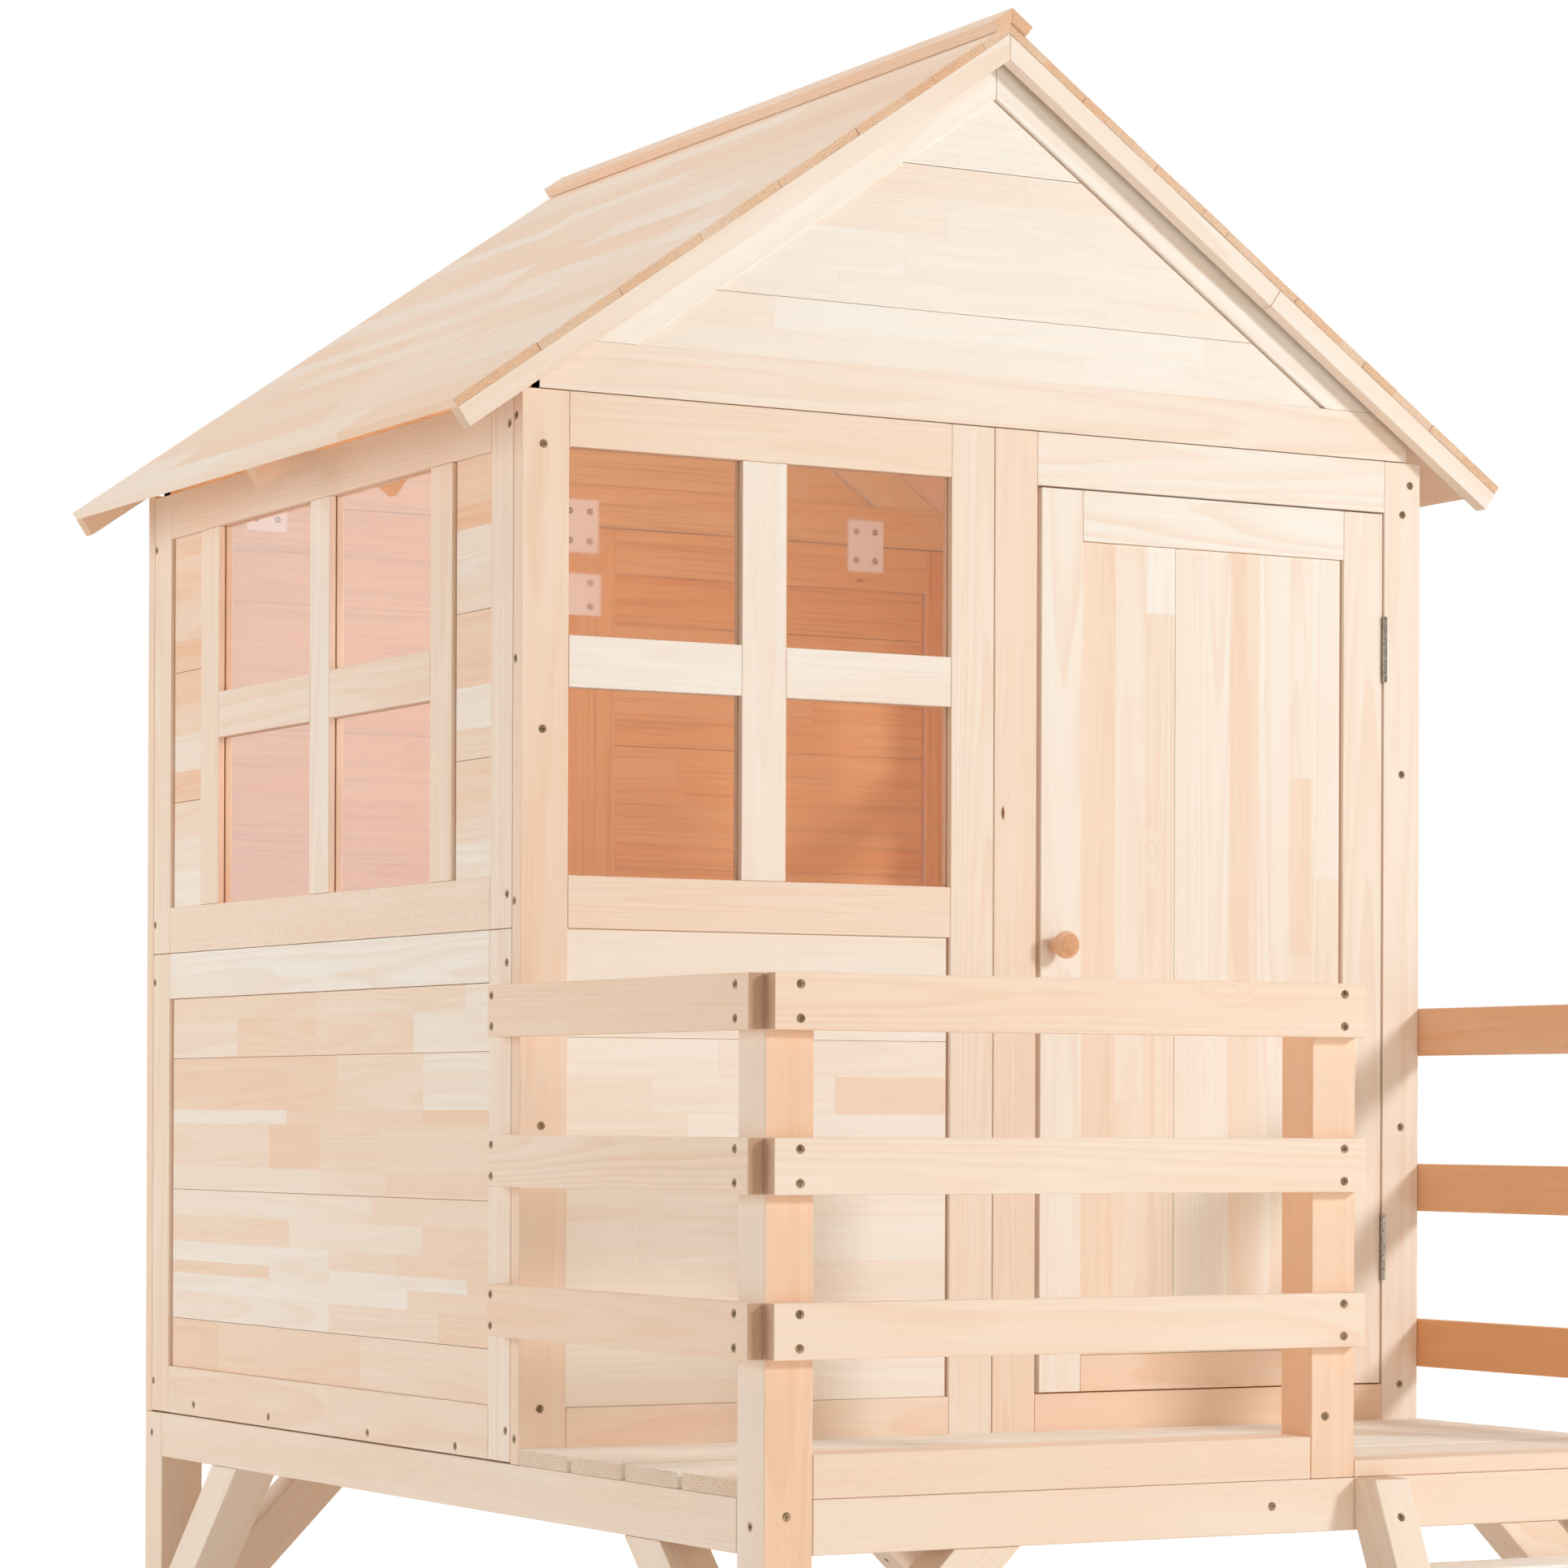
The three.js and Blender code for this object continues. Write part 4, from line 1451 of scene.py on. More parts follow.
@dataclass
class SideWall:
    """One side wall: a lower panel and an upper panel with a window."""

    shop: Workshop
    side: str
    stile: float = 56.0
    window_stile: float = 57.0
    window_reach: float = 310.0
    end_gaps: Span = (0.8, 0.5)

    def __post_init__(self) -> None:
        """Lays the panel plane at the wall's own side."""
        left = self.side == "left"
        near = 0 if left else S.width - S.wall
        self.panel = Panel(Plane.SIDE, (near, near + S.wall))
        self.facing, self.face = (LEFT, 0) if left else (RIGHT, S.width)
        run = (S.wall + S.gap, S.depth - S.wall - S.gap)
        self.outer = (run[0] + self.end_gaps[0], run[1] - self.end_gaps[1])
        self.inside = (run[0] + self.stile, run[1] - self.stile)

    def finish(self, level: str, boards: list[Timber], spots: Iterable[Span]) -> None:
        """Builds a panel with the screws on its outer face.

        Args:
            level: Whether it's the lower or the upper one.
            boards: Its boards.
            spots: Where its screws sit, from front to back and up.
        """
        screws = screws_at([(self.face, y, z) for y, z in spots], self.facing)
        node = f"{self.side}_wall_{level}_panel"
        self.shop.build(node, boards, Slot.PANEL, screws, inward=-self.facing)

    def build(self) -> None:
        """Builds both panels."""
        self.lower()
        self.upper()

    def lower(self) -> None:
        """Builds the lower panel."""
        panel, inside = self.panel, self.inside
        top = S.seam - S.gap
        field_up = (S.foot_rail_top, top - S.member)
        up = (S.foot + 1.6, top - 0.3)
        boards = panel.stiles(self.outer, inside, up, (0.22, 0.3))
        boards += [
            panel.board(inside, (field_up[1], up[1]), False, tone=0.06),
            panel.board(inside, (up[0], field_up[0]), False, tone=0.3),
        ]
        rows = [
            (43.4, 104.7, (431, 861), (0.3, 0.42, 0.5)),
            (105.3, 139.5, (216, 520), (0.42, 0.28, 0.14)),
            (139.5, 163, (300,), (0.35, 0.1)),
            (163, 179, (141, 520, 700), (0.4, 0.1, 0.16, 0.4)),
            (179, 203, (330, 521), (0.42, 0.3, 0.08)),
            (203, 236, (260, 640), (0.4, 0.22, 0.35)),
            (236, 268.2, (400,), (0.3, 0.2)),
            (268.8, 298.5, (360, 551), (0.38, 0.3, 0.22)),
            (298.5, 352, (380, 551, 700), (0.32, 0.35, 0.5, 0.3)),
            (352, 369, (260, 648), (0.5, 0.4, 0.12)),
            (369, 433.7, (260, 500), (0.12, 0.3, 0.45)),
            (434.3, 481.3, (286, 560, 800), (0.12, 0.35, 0.42, 0.25)),
            (481.3, 509.6, (149, 560), (0.14, 0.3, 0.34)),
        ]
        field = panel.field(inside)
        if self.side == "right":
            rows = RowMaker((0.12, 0.5)).rows(random.Random(31), field, field_up, 434.0)
        boards += panel.staves(rows, field, calm=0.3)
        boards += panel.slot_strips(inside, field_up)
        spots = [(34, 531), (33, 18), (1062, 532), (1062, 22)]
        self.finish("lower", boards, spots + [(927, -2), (689, -4), (398, -6), (161, -7)])

    def upper(self) -> None:
        """Builds the upper panel with its window bars."""
        panel, inside = self.panel, self.inside
        up, low = (S.seam, S.side_top), S.seam + S.member
        window = (S.depth / 2 - self.window_reach, S.depth / 2 + self.window_reach)
        bars = (window[0] - self.window_stile, window[1] + self.window_stile)
        opening = (low + S.joint, S.head - S.joint)
        boards = panel.stiles(self.outer, inside, up, (0.25, 0.3))
        boards += [
            panel.board(inside, (S.head, up[1]), False, tone=0.3),
            panel.board(inside, (up[0], low), False, tone=0.3, figure=1.0),
            panel.board((bars[0], window[0]), opening, True, tone=0.3),
            panel.board((window[1], bars[1]), opening, True, tone=0.3),
            *panel.muntins(window, (low, S.head), (0.15, 0.28, 0.25)),
        ]
        panel.pane_groove(boards, window, (low, S.head))
        rng = random.Random(7 if self.side == "left" else 8)
        maker = RowMaker((0.05, 0.75))
        for side in ((inside[0], bars[0]), (bars[1], inside[1])):
            field = panel.field(side)
            rows = maker.rows(rng, field, (low, S.head), 760.0)
            rows = [(bottom, top, (), tones[:1]) for bottom, top, _, tones in rows]
            boards += panel.staves(rows, field)
            boards += panel.slot_strips(side, opening)
        self.finish("upper", boards, [(32, 1122), (34, 606), (1062, 1087), (1062, 606)])


@dataclass
class RearWall:
    """The two closed panels of the rear wall."""

    shop: Workshop
    screw_aside: float = 26.0
    screw_heights: tuple[float, ...] = (1100, 784, 352, 40)

    def build(self) -> None:
        """Builds both panels."""
        panel = Panel(Plane.FRONT, (S.depth - S.wall, S.depth))
        up, maker = (S.foot_rail_top, S.head), RowMaker((0.3, 0.55))
        for index, side in enumerate(("left", "right")):
            left = S.middle * index
            right = left + S.middle - S.gap
            inside = (left + S.member, right - S.member)
            field = panel.field(inside)
            boards = panel.stiles((left, right), inside, (S.foot, S.wall_top), (0.4, 0.45))
            boards += [
                panel.board(inside, (S.head, S.wall_top), False, tone=0.35),
                panel.board(inside, (S.foot, S.foot_rail_top), False, tone=0.35),
            ]
            rows = maker.rows(random.Random(50 + index), field, up, 1030.0)
            boards += panel.staves(rows, field)
            boards += panel.slot_strips(inside, up)
            edge = right - self.screw_aside if index else left + self.screw_aside
            screws = screws_at([(edge, S.depth, z) for z in self.screw_heights], BACK)
            node = f"rear_wall_{side}_panel"
            self.shop.build(node, boards, Slot.PANEL, screws, inward=FRONT)


@dataclass
class Gable:
    """A triangular panel under the roof."""

    shop: Workshop
    node: str
    depth: Span
    seed: int = 0
    rake: float = 57.0
    rake_middle: float = 330.0
    rake_length: float = 900.0
    slot_width: float = 2.4
    overlap: float = 2.0
    strip: Span = (9.0, 3.0)
    calm: float = 0.55
    tones: tuple[float, float, float] = (0.06, 0.1, 0.45)

    def build(self) -> None:
        """Builds the foot rail, both rakes and the staves between them."""
        self.panel = Panel(Plane.FRONT, self.depth)
        foot = S.wall_top + S.gap
        self.inner_foot = foot + self.rake
        self.inner_peak = S.peak(S.gap + self.rake)
        ends = (S.wall, S.width - S.wall)
        self.ends = {-1: Cut(Vector((ends[0], 0, 0)), LEFT), 1: Cut(Vector((ends[1], 0, 0)), RIGHT)}
        height = (foot + 0.8, self.inner_foot - S.joint)
        rail = self.panel.board(ends, height, False, tone=0.2, edge=0.8)
        slopes = [Cut(S.peak(S.gap), S.off(side)) for side in (1, -1)]
        rail.cuts = [*self.ends.values(), *slopes]
        boards = [rail, self.rake_board(1), self.rake_board(-1), *self.infill()]
        boards.append(self.slot_strip())
        inward = FRONT if self.depth[0] else BACK
        self.shop.build(self.node, boards, Slot.PANEL, inward=inward)

    def sloping(
        self, top: Vector, side: int, size: Span, limits: Span, tone: float, edge: float
    ) -> Timber:
        """Gives a board that runs down one slope.

        Args:
            top: A point at the ridge, on the board's middle line.
            side: -1 for the left slope and 1 for the right one.
            size: Its width and thickness.
            limits: Where it's cut off, across at the ridge and up at the foot.
            tone: Its wood colour.
            edge: Width of its rounded edges.

        Returns:
            The board.
        """
        centre = top + S.down(side) * self.rake_middle
        centre.y = sum(self.depth) / 2
        cuts = [
            Cut(Vector((limits[0], 0, 0)), Vector((-side, 0, 0))),
            Cut(Vector((0, 0, limits[1])), DOWN),
            self.ends[side],
        ]
        full = (self.rake_length, *size)
        return Timber(centre, full, S.down(side), S.off(side), tone, edge, cuts)

    def rake_board(self, side: int) -> Timber:
        """Gives the frame's board under one slope.

        Args:
            side: -1 for the left slope and 1 for the right one.

        Returns:
            The board.
        """
        top = S.peak(S.gap) - S.off(side) * (self.rake / 2)
        limits = (S.middle + side * 0.1, self.inner_foot)
        return self.sloping(top, side, (self.rake, S.wall), limits, 0.0, 1.2)

    def slot_strip(self) -> Timber:
        """Gives the thin strip that closes the slot under the right slope, in a darker tone that
        paints shade into the slot.
        """
        limits = (S.middle, self.inner_foot - 1)
        # Painted shade: the strip's darker tone darkens the slot.
        return self.sloping(self.inner_peak, 1, self.strip, limits, 0.8, 0.2)

    def infill(self) -> list[Timber]:
        """Gives the staves between the rakes, cut off along both slopes.

        Returns:
            The staves.
        """
        rows = [
            (1452.9, 1540, (), (0.02,)),
            (1417, 1452.1, (650,), (0.36, 0.28)),
            (1371, 1417, (543, 760), (0.24, 0.16, 0.12)),
            (1322, 1371, (487, 700), (0.02, 0.12, 0.06)),
            (1286, 1322, (400, 760), (0.14, 0.1, 0.14)),
            (1250, 1285.4, (317, 900), (0.3, 0.0, 0.1)),
            (1215.4, 1250, (420, 729, 874), (0.14, 0.1, 0.04, 0.1)),
        ]
        if self.seed:
            across, up = (140, S.width - 140), (self.inner_foot, 1538)
            rows = RowMaker((0.2, 0.7)).rows(random.Random(self.seed), across, up, 1452.5)
        slots = {1: DOWN * (self.slot_width / math.cos(S.pitch)), -1: UP * self.overlap}
        cuts = [Cut(self.inner_peak + slots[side], S.off(side)) for side in (1, -1)]
        base, palest, share = self.tones
        staves = []
        for stave in self.panel.staves(rows, (120, S.width - 120), calm=self.calm):
            half = stave.size[0] / 2
            bottom = stave.centre.z - (stave.size[1] if stave.across.z else stave.size[2]) / 2
            reach = (self.inner_peak.z - bottom) / math.tan(S.pitch) - self.overlap
            if abs(stave.centre.x - S.middle) - half < reach:
                stave.cuts = list(cuts)
                stave.tone = base + (stave.tone - palest) * share
                staves.append(stave)
        return staves


@dataclass
class Door:
    """The hinged door with its knob."""

    shop: Workshop
    across: Span = (670.5, 1157.0)
    up: Span = (44.5, 1094.0)
    stile: float = 57.0
    head_rail: float = 59.0
    foot_rail: float = 42.0
    row_gap: float = 0.4
    knob_place: Span = (689.5, 563.0)
    knob_segments: int = 48
    knob_tip: float = 0.02
    knob_profile: tuple[Span, ...] = (
        (10, 0), (9.2, 3), (7.2, 8), (7, 12), (9.5, 15.5), (14, 19),
        (16.4, 24), (16.3, 28), (14, 32.5), (9, 35.8), (4, 36.8), (0, 37),
    )

    def build(self) -> None:
        """Builds the leaf and dresses the knob and hinges."""
        panel = Panel(Plane.FRONT, (0, S.wall))
        inside = (self.across[0] + self.stile, self.across[1] - self.stile)
        field_up = (self.up[0] + self.foot_rail, self.up[1] - self.head_rail)
        boards = panel.stiles(self.across, inside, self.up, (0.1, 0.18))
        boards += [
            panel.board(inside, (field_up[1], self.up[1]), False, tone=0.04),
            panel.board(inside, (self.up[0], field_up[0]), False, tone=0.42),
        ]
        left, right = panel.field(inside)
        rows = [
            (left, 775.8, (), (0.34,)),
            (775.8, 820, (380,), (0.26, 0.18)),
            (820, 859.6, (956,), (0.22, 0.0)),
            (860.3, 938, (), (0.1,)),
            (938, 979.5, (), (0.26,)),
            (979.5, 1026.4, (), (0.1,)),
            (1026.4, 1057, (560, 770), (0.26, 0.34, 0.12)),
            (1057, right, (650,), (0.2, 0.08)),
        ]
        ends = (field_up[0] + self.row_gap, field_up[1] - self.row_gap)
        boards += panel.staves(rows, ends, upright=True)
        boards += panel.slot_strips(inside, field_up)
        self.shop.build("door_leaf", boards, Slot.PANEL, body=Body.DOOR, inward=BACK)
        self.knob()
        self.hinges()

    def knob(self) -> None:
        """Turns the knob as on a lathe: rings of a profile, one drawn out of the other."""
        radius, height = self.knob_profile[0]
        bpy.ops.object.select_all(action="DESELECT")
        bpy.ops.mesh.primitive_circle_add(vertices=self.knob_segments, radius=radius * MM)
        obj = bpy.context.active_object
        bpy.ops.object.mode_set(mode="EDIT")
        bpy.ops.mesh.select_all(action="SELECT")
        bpy.ops.mesh.edge_face_add()
        for next_radius, next_height in self.knob_profile[1:]:
            step = {"value": (0, 0, (next_height - height) * MM)}
            bpy.ops.mesh.extrude_region_move(TRANSFORM_OT_translate=step)
            next_radius = max(next_radius, self.knob_tip)
            share = next_radius / radius
            bpy.ops.transform.resize(value=(share, share, 1))
            radius, height = next_radius, next_height
        bpy.ops.mesh.select_all(action="SELECT")
        bpy.ops.mesh.normals_make_consistent(inside=False)
        bpy.ops.object.mode_set(mode="OBJECT")
        x, z = self.knob_place
        obj.rotation_euler = (math.radians(90), 0, 0)
        obj.location = self.shop.at(Vector((x, -S.gap, z)))
        bpy.ops.object.transform_apply(location=True, rotation=True, scale=True)
        self.shop.modify(obj, "SUBSURF", levels=1, render_levels=1)
        bpy.ops.object.shade_smooth()
        timber = Timber(Vector((x, -18, z)), (37, 33, 33), BACK, RIGHT, 0.68)
        self.shop.mark_grain(obj, timber, random.Random(3))
        self.shop.place(obj, "door_knob_turned", Slot.TURNED, Body.DOOR)
        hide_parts("door_knob")

    def hinges(self) -> None:
        """Gives the four hinge leaves, which stay as they came, their metal."""
        for level in ("lower", "upper"):
            for leaf in ("house", "door"):
                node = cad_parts[f"{level}_hinge_{leaf}_leaf"]
                node.data.materials.clear()
                node.data.materials.append(self.shop.finishes[Slot.METAL])


@dataclass
class Roof:
    """The boards, battens and ridge cap."""

    shop: Workshop
    board_thickness: float = 10.0
    board_joint: float = 0.5
    boards: int = 7
    strip_jitter: float = 0.12
    strip_starts: Span = (120.0, 420.0)
    strip_lengths: Span = (260.0, 520.0)
    strip_tones: Span = (0.2, 0.48)
    uneven_ends: float = 1.8
    run: Span = (-30.0, 1109.0)
    mitre_spare: float = 20.0
    batten_height: float = 25.0
    batten_width: float = 19.5
    batten_start: float = -25.0
    scarf: float = 460.0
    scarf_gap: float = 0.4
    barge_gap: float = 1.0
    cap_width: float = 34.0
    cap_thickness: float = 13.5
    cap_overhangs: Span = (34.0, 26.0)
    cap_tones: tuple[tuple[int, float], ...] = ((-1, 0.42), (1, 0.55))

    def __post_init__(self) -> None:
        """Works out the slope's length."""
        self.length = S.half_span / math.cos(S.pitch)

    def build(self) -> None:
        """Builds both halves and the cap."""
        for node, side in (("roof_left_half", -1), ("roof_right_half", 1)):
            mitre = Cut(Vector((S.middle + side * S.gap / 2, 0, 0)), Vector((-side, 0, 0)))
            timbers = self.strips(side, mitre) + self.battens(side, mitre)
            self.shop.build(node, timbers, Slot.ROOF)
        self.cap()

    @staticmethod
    def spot(side: int, down: float, off: float, y: float) -> Vector:
        """Gives a place on a slope.

        Args:
            side: -1 for the left slope and 1 for the right one.
            down: Distance from the ridge, down the slope.
            off: Distance square to the slope.
            y: Distance from the front.

        Returns:
            The place.
        """
        place = S.peak() + S.down(side) * down + S.off(side) * off
        place.y = y
        return place

    def strips(self, side: int, mitre: Cut) -> list[Timber]:
        """Lays the roof boards, each of them glued from strips.

        Args:
            side: -1 for the left half and 1 for the right half.
            mitre: The cut along the ridge.

        Returns:
            The strips' pieces.
        """
        rng = random.Random(17 + side)
        board, jitter, uneven = self.length / self.boards, self.strip_jitter, self.uneven_ends
        timbers = []
        for index in range(self.boards):
            parts = rng.choice((2, 3, 3))
            shares = [(k + rng.uniform(-jitter, jitter)) / parts for k in range(1, parts)]
            last = board * (index + 1) - (self.board_joint if index < self.boards - 1 else 0)
            inner = [board * (index + share) for share in shares]
            edges = [board * index + self.board_joint, *inner, last]
            for low, high in zip(edges, edges[1:]):
                stops = [self.run[0] + rng.uniform(0, uneven)]
                place = stops[0] + rng.uniform(*self.strip_starts)
                while place < self.run[1] - self.strip_starts[0]:
                    stops.append(place)
                    place += rng.uniform(*self.strip_lengths)
                stops.append(self.run[1] - rng.uniform(0, uneven))
                at_ridge = index == 0 and low == edges[0]
                spare = self.mitre_spare if at_ridge else 0.0
                middle = (low + high) / 2 - spare / 2
                for start, end in zip(stops, stops[1:]):
                    centre = self.spot(side, middle, self.board_thickness / 2, (start + end) / 2)
                    size = (end - start, high - low + spare, self.board_thickness)
                    tone = rng.uniform(*self.strip_tones)
                    cuts = [mitre] if at_ridge else []
                    timbers.append(
                        Timber(centre, size, BACK, S.down(side), tone, 0.25, cuts, calm=0.5)
                    )
        return timbers

    def battens(self, side: int, mitre: Cut) -> list[Timber]:
        """Lays the three battens under the boards, of which the front right one is in two.

        Args:
            side: -1 for the left half and 1 for the right half.
            mitre: The cut along the ridge.

        Returns:
            The battens.
        """
        half = self.batten_width / 2
        timbers = []
        for number, y in enumerate((self.run[0] + half, S.depth / 2, self.run[1] - half)):
            pieces, gap = [(self.batten_start, self.length)], 0.0
            if side > 0 and number == 0:
                second = (self.scarf + self.scarf_gap, self.length)
                pieces, gap = [(self.batten_start, self.scarf), second], self.barge_gap
            for start, end in pieces:
                centre = self.spot(side, (start + end) / 2, -(self.batten_height + gap) / 2, y)
                size = (end - start, self.batten_height - gap, self.batten_width)
                tone, cuts = (0.35 if number else 0.16), ([mitre] if start < 0 else [])
                timbers.append(
                    Timber(centre, size, S.down(side), S.off(side), tone, 1.0, cuts)
                )
        return timbers

    def cap(self) -> None:
        """Builds the two narrow boards over the ridge."""
        thickness, spare = self.cap_thickness, self.mitre_spare
        low = self.board_thickness + S.gap
        width = self.cap_width - (low + thickness) * math.tan(S.pitch)
        run = (-self.cap_overhangs[0], S.depth + self.cap_overhangs[1])
        size = (run[1] - run[0], width + spare, thickness)
        timbers = []
        for side, tone in self.cap_tones:
            centre = self.spot(side, (width - spare) / 2, low + thickness / 2, sum(run) / 2)
            cuts = [Cut(Vector((S.middle + side * 0.1, 0, 0)), Vector((-side, 0, 0)))]
            timbers.append(Timber(centre, size, BACK, S.down(side), tone, cuts=cuts))
        self.shop.build("ridge_cap", timbers, Slot.ROOF)


# Hardware and panes


@dataclass
class Windows:
    """The three clear panes."""

    shop: Workshop
    edge: float = 0.0006

    def build(self) -> None:
        """Builds the panes with lightly rounded edges."""
        for name in ("front_window_pane", "left_window_pane", "right_window_pane"):
            low, high = (Vector(corner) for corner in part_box(name))
            pane = self.shop.block((low + high) / 2, high - low)
            self.shop.modify(pane, "BEVEL", width=self.edge, segments=2)
            self.shop.place(pane, name + "_sheet", Slot.PANE, Body.HOUSE)
            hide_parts(name)


@dataclass
class Hardware:
    """The screws, and the white plates that join the panels inside.

    Attributes:
        shop: Where the pieces are made.
        head_radius: Radius of a screw head.
        head_depth: Thickness of a screw head, in metres.
        rim: Width of the head's rounded rim, in metres.
        bit: Sizes of one arm of the cross recess, in metres.
        sink: How far a head lies below the face.
        spin: How much further each screw is turned than the one before.
        plate_depth: Thickness of a joining plate, in metres.
        plate_edge: Width of a plate's rounded edges, in metres.
    """

    shop: Workshop
    head_radius: float = 4.3
    head_depth: float = 0.0016
    rim: float = 0.0003
    bit: tuple[float, float, float] = (0.0044, 0.0011, 0.0022)
    sink: float = 1.3
    spin: float = 0.7
    plate_depth: float = 0.0016
    plate_edge: float = 0.0006

    def build(self) -> None:
        """Builds the plates and every screw."""
        self.plates()
        model = self.screw()
        for body, screws in self.shop.screws.items():
            if screws:
                self.drive(model, body, screws)
        self.shop.only(model)
        bpy.ops.object.delete()

    def screw(self) -> bpy.types.Object:
        """Models one screw head that faces up, with a cross recess.

        Returns:
            The head.
        """
        bpy.ops.object.select_all(action="DESELECT")
        bpy.ops.mesh.primitive_cylinder_add(
            vertices=20, radius=self.head_radius * MM, depth=self.head_depth,
            location=(0, 0, -self.head_depth / 2),
        )
        head = bpy.context.active_object
        self.shop.modify(head, "BEVEL", width=self.rim, segments=2)
        for turn in (0.0, math.radians(90)):
            bpy.ops.object.select_all(action="DESELECT")
            bpy.ops.mesh.primitive_cube_add(size=1, rotation=(0, 0, turn))
            bit = bpy.context.active_object
            bit.scale = self.bit
            bpy.ops.object.transform_apply(location=True, rotation=True, scale=True)
            self.shop.subtract(head, bit)
        return head

    def drive(self, model: bpy.types.Object, body: Body, screws: Sequence[Screw]) -> None:
        """Copies the screw to each of its places and joins the copies.

        Args:
            model: The screw head to copy.
            body: The body that the screws ride on.
            screws: The screws.
        """
        copies = []
        for number, screw in enumerate(screws):
            self.shop.only(model)
            bpy.ops.object.duplicate()
            copy = bpy.context.active_object
            spin = Matrix.Rotation(number * self.spin, 4, "Z")
            turn = screw.facing.to_track_quat("Z", "Y").to_matrix().to_4x4()
            spot = self.shop.at(screw.point - screw.facing * self.sink)
            copy.matrix_world = Matrix.Translation(spot) @ turn @ spin
            bpy.ops.object.transform_apply(location=True, rotation=True, scale=True)
            copies.append(copy)
        self.shop.only(*copies)
        bpy.ops.object.join()
        piece = bpy.context.active_object
        bpy.ops.object.shade_smooth_by_angle(angle=math.radians(35))
        self.shop.place(piece, body.value + "_screws", Slot.METAL, body, SCREW_FINISH)

    def plates(self) -> None:
        """Builds the white plates across the seams of the rear wall."""
        inside = S.depth - S.wall
        upright = ((57, 72), (15, 20))
        plates = (
            (157, 1158, *upright), (610, 1158, *upright), (1056, 1158, *upright),
            (606, 1066, (72, 56), (20, 16)),
        )
        for number, (x, z, (width, height), (aside, away)) in enumerate(plates):
            centre = self.shop.at(Vector((x, inside - 0.9, z)))
            plate = self.shop.block(centre, (width * MM, self.plate_depth, height * MM))
            self.shop.modify(plate, "BEVEL", width=self.plate_edge, segments=2)
            corners = ((-1, -1), (-1, 1), (1, -1), (1, 1))
            spots = [(x + i * aside, inside - 2.4, z + k * away) for i, k in corners]
            self.shop.screws[Body.HOUSE] += screws_at(spots, FRONT)
            name = f"joining_plate_{number + 1}"
            self.shop.place(plate, name, Slot.METAL, Body.HOUSE, PLATE_FINISH)


# Studio


@dataclass(frozen=True)
class Lamp:
    """A square area lamp: its place in the part's frame, side, power and colour."""

    name: str
    place: tuple[float, float, float]
    size: float
    power: float
    colour: tuple[float, float, float]

    def hang(self, aim: Vector) -> bpy.types.Object:
        """Hangs the lamp so that no surface mirrors it.

        Args:
            aim: The direction that it shines in.

        Returns:
            The lamp.
        """
        data = bpy.data.lights.new(self.name, "AREA")
        data.shape, data.size = "SQUARE", self.size
        data.energy, data.color = self.power, self.colour
        lamp = bpy.data.objects.new(self.name, data)
        bpy.context.scene.collection.objects.link(lamp)
        lamp.rotation_euler = aim.to_track_quat("-Z", "Y").to_euler()
        lamp.location = self.place
        lamp.visible_glossy = lamp.visible_transmission = False
        return lamp


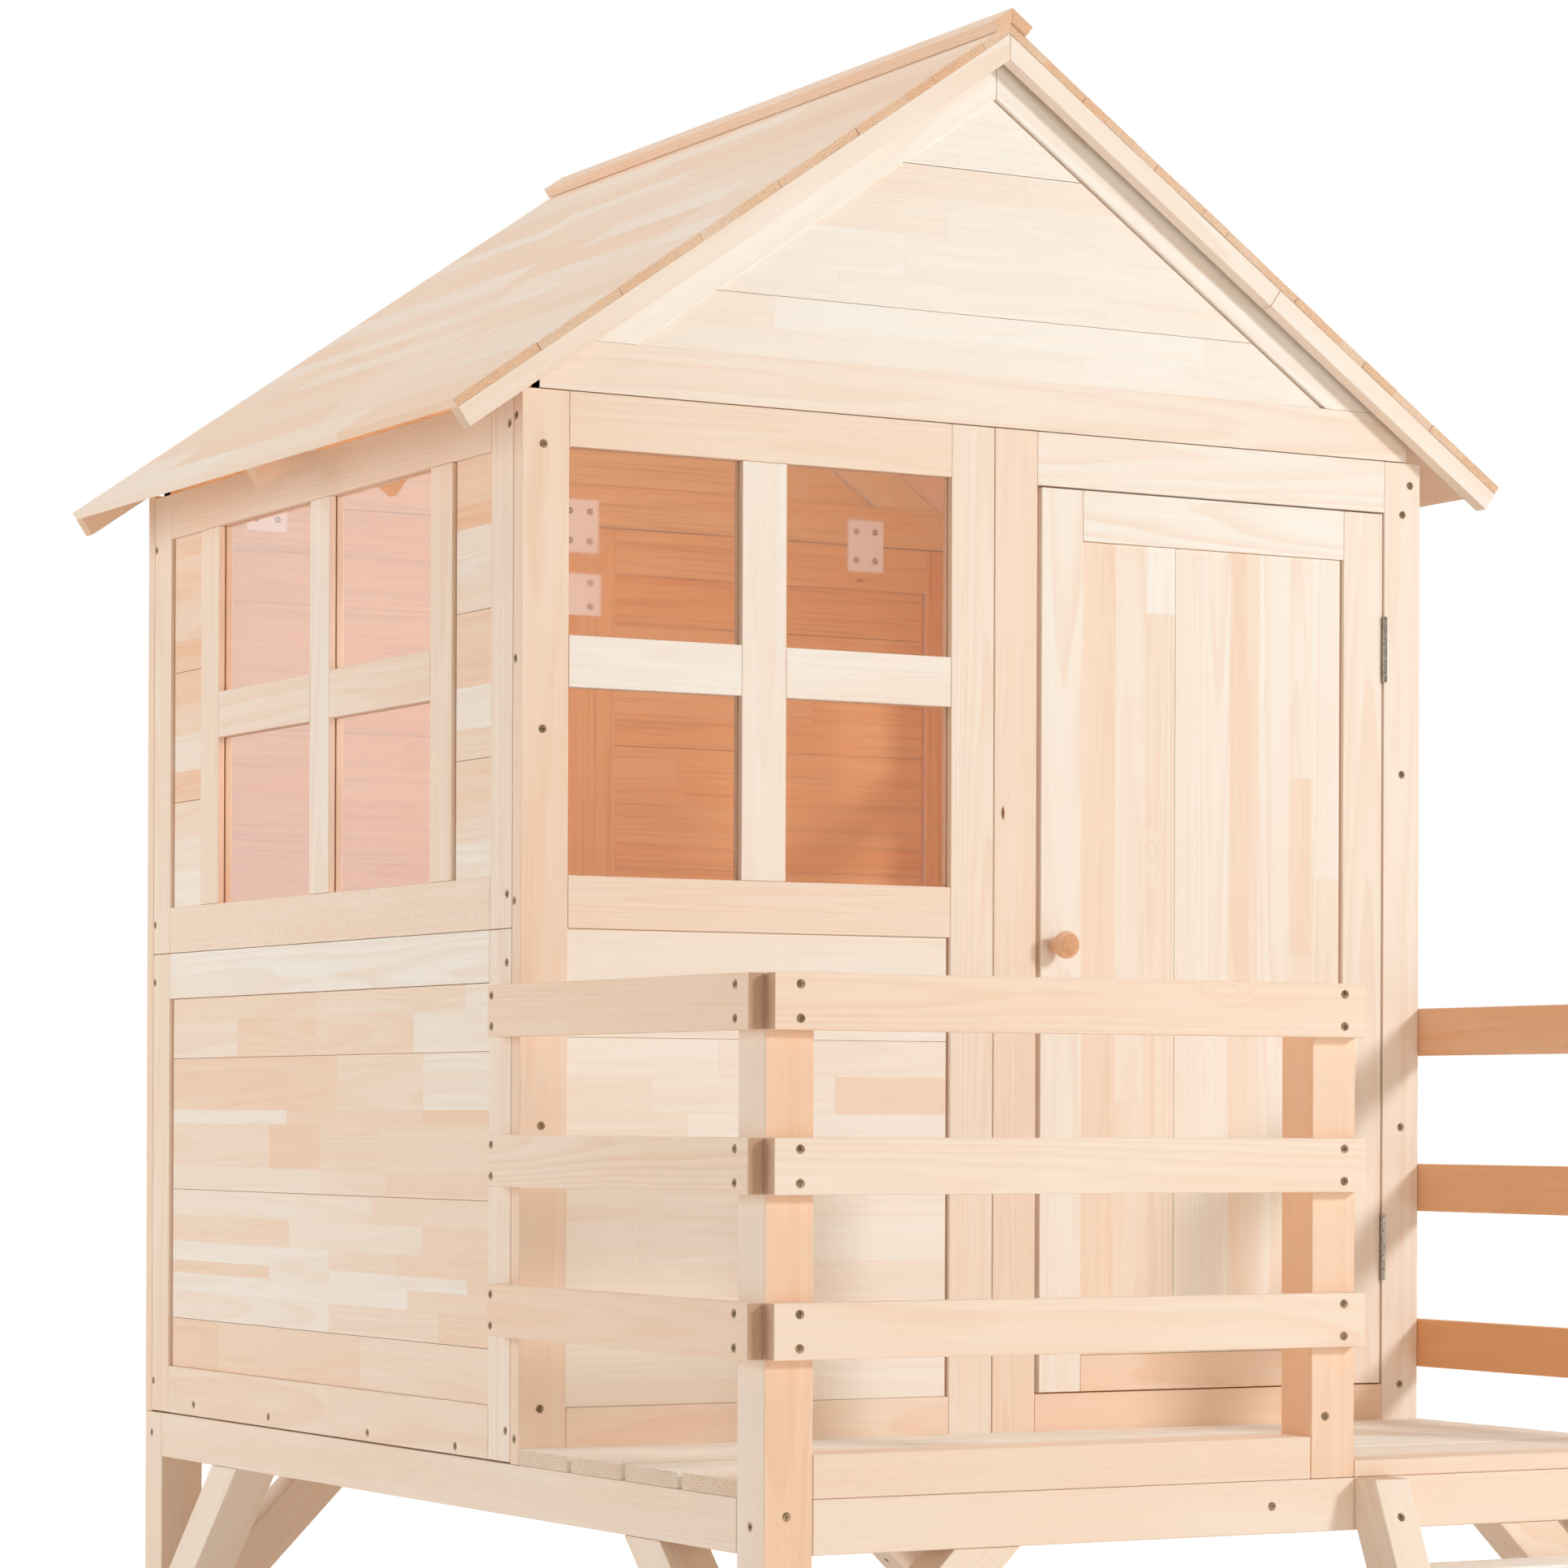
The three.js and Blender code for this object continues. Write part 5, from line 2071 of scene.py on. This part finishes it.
@dataclass(frozen=True)
class Studio:
    """The camera, the lamps, the floor and the white surroundings."""

    eye: tuple[float, float, float] = (-2298.0, -4679.8, 362.9)
    heading: float = math.radians(29.32)
    pitch: float = math.radians(0.18)
    roll: float = math.radians(0.21)
    focal_pixels: float = 5886.5
    axis_row: float = 1357.66
    sensor: float = 36.0
    aim: tuple[float, float, float] = (0.0, 0.0, 1.1)
    floor_size: float = 160.0
    floor_drop: float = 0.0005
    floor_colour: Colour = (0.95, 0.93, 0.90, 1.0)
    glow_reach: Span = (1.6, 3.6)
    glow: Span = (0.4, 0.78)
    soft_light: float = 0.31
    soft_colour: Colour = linear(255, 236, 210)
    mirrored_light: Span = (0.25, 1.0)

    def build(self, shop: Workshop) -> None:
        """Sets up the camera, lamps, floor and world.

        Args:
            shop: What turns the drawing's places into the part's frame.
        """
        self.camera(shop)
        self.lamps()
        self.floor()
        self.world()

    def camera(self, shop: Workshop) -> None:
        """Places the camera where the picture was taken from.

        Args:
            shop: What turns the drawing's places into the part's frame.
        """
        data = bpy.data.cameras.new("camera")
        camera = bpy.data.objects.new("camera", data)
        bpy.context.scene.collection.objects.link(camera)
        turn = Matrix.Rotation(-self.heading, 4, "Z")
        turn = turn @ Matrix.Rotation(math.radians(90) + self.pitch, 4, "X")
        turn = turn @ Matrix.Rotation(self.roll, 4, "Z")
        camera.matrix_world = Matrix.Translation(shop.at(Vector(self.eye))) @ turn
        data.sensor_width = self.sensor
        data.lens = self.focal_pixels / PHOTO_SIDE * self.sensor
        data.shift_y = (self.axis_row - PHOTO_SIDE / 2) / PHOTO_SIDE
        data.clip_end = 200.0
        bpy.context.scene.camera = camera

    def lamps(self) -> None:
        """Hangs soft lamps around the house, and a warm one inside that stays unseen."""
        cool, warm = (0.97, 1.04, 1.11), (1.0, 0.94, 0.86)
        for lamp in (
            Lamp("key_lamp", (3.1, -5.3, 3.0), 0.9, 158.0, cool),
            Lamp("front_lamp", (0.2, -6.6, 1.4), 2.6, 54.0, warm),
            Lamp("left_lamp", (-5.4, 2.4, 2.4), 3.5, 124.0, cool),
            Lamp("top_lamp", (-0.8, -0.4, 5.6), 4.0, 67.0, cool),
        ):
            lamp.hang(Vector(self.aim) - Vector(lamp.place))
        inside = Lamp("inside_lamp", (0.0, 0.0, 1.5), 0.66, 5.3, (1.0, 0.88, 0.84))
        inside.hang(BACK).visible_camera = False

    @staticmethod
    def seen(rays: bpy.types.bpy_prop_collection, sheet: Sheet) -> bpy.types.NodeSocket:
        """Gives the mask of what the eye sees, also in and through other things."""
        kinds = ("Is Camera Ray", "Is Glossy Ray", "Is Transmission Ray")
        return sheet.any_of(*(rays[kind] for kind in kinds))

    def floor(self) -> None:
        """Lays a large pale floor that still takes the house's shadow."""
        bpy.ops.object.select_all(action="DESELECT")
        low = (0, 0, -self.floor_drop)
        bpy.ops.mesh.primitive_plane_add(size=self.floor_size, location=low)
        ground = bpy.context.active_object
        ground.name = "studio_floor"
        material, sheet, shader = start_material("studio_floor_finish")
        sheet.fill(shader, {"Base Color": self.floor_colour, "Roughness": 0.9})
        place = sheet.node("TexCoord").outputs["Object"]
        reach = sheet.vector("LENGTH", place, out="Value")
        strength = sheet.span(reach, *self.glow_reach, self.glow)
        seen = self.seen(sheet.node("LightPath").outputs, sheet)
        glow = sheet.result("Emission", {"Strength": sheet.times(seen, strength)})
        blend = sheet.result("AddShader", {0: shader.outputs[0], 1: glow})
        sheet.fill(material.node_tree.nodes["Material Output"], {"Surface": blend})
        ground.data.materials.append(material)

    def world(self) -> None:
        """Makes the surroundings white to the eye and softly bright to the wood."""
        world = bpy.data.worlds.new("white_surroundings")
        bpy.context.scene.world = world
        world.use_nodes = True
        sheet = Sheet(world.node_tree)
        rays = sheet.node("LightPath").outputs
        seen, mirror = self.seen(rays, sheet), rays["Is Glossy Ray"]
        toward = sheet.split(sheet.node("TexCoord").outputs["Generated"])[1]
        mirrored = sheet.span(toward, -0.5, 0.5, self.mirrored_light)
        bright = sheet.math("SUBTRACT", 1.0, mirror)
        bright = sheet.math("ADD", sheet.times(mirror, mirrored), bright)
        soft = sheet.times(sheet.math("SUBTRACT", 1.0, seen), self.soft_light)
        sheet.fill(world.node_tree.nodes["Background"], {
            "Strength": sheet.math("MULTIPLY_ADD", seen, bright, soft),
            "Color": sheet.mix(seen, self.soft_colour, (1.0, 1.0, 1.0, 1.0)),
        })


def main() -> None:
    """Builds the whole scene."""
    logging.basicConfig(level=logging.INFO, format="%(name)s: %(message)s")
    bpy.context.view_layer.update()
    shop = Workshop()
    group = WoodGroup().build()
    for finish in (
        PineFinish(Slot.TIMBER, 0.0028, 0.26, 0.010),
        PineFinish(Slot.PANEL, 0.0030, 0.24, 0.012),
        PineFinish(Slot.ROOF, 0.0034, 0.26, 0.014),
        PineFinish(Slot.DECK, 0.0034, 0.26, 0.012),
        PineFinish(Slot.TURNED, 0.0024, 0.5, 0.0),
    ):
        shop.finishes[finish.slot] = finish.build(group)
    shop.finishes[Slot.PANE] = PaneFinish().build()
    shop.finishes[Slot.METAL] = MetalFinish().build()
    MetalFinish(SCREW_FINISH, linear(176, 146, 112), linear(98, 80, 60), 0.3).build()
    PaintedPlateFinish().build()
    Studio().build(shop)
    for builder in (
        Platform(shop),
        TerraceRails(shop),
        Ladder(shop),
        FrontWall(shop),
        SideWall(shop, "left"),
        SideWall(shop, "right"),
        RearWall(shop),
        Gable(shop, "front_gable", (0, S.wall)),
        Gable(shop, "rear_gable", (S.depth - S.wall, S.depth), 9),
        Door(shop),
        Roof(shop),
        Windows(shop),
        Hardware(shop),
    ):
        builder.build()
    bpy.context.scene.view_settings.view_transform = "Standard"


if __name__ == "__main__":
    main()
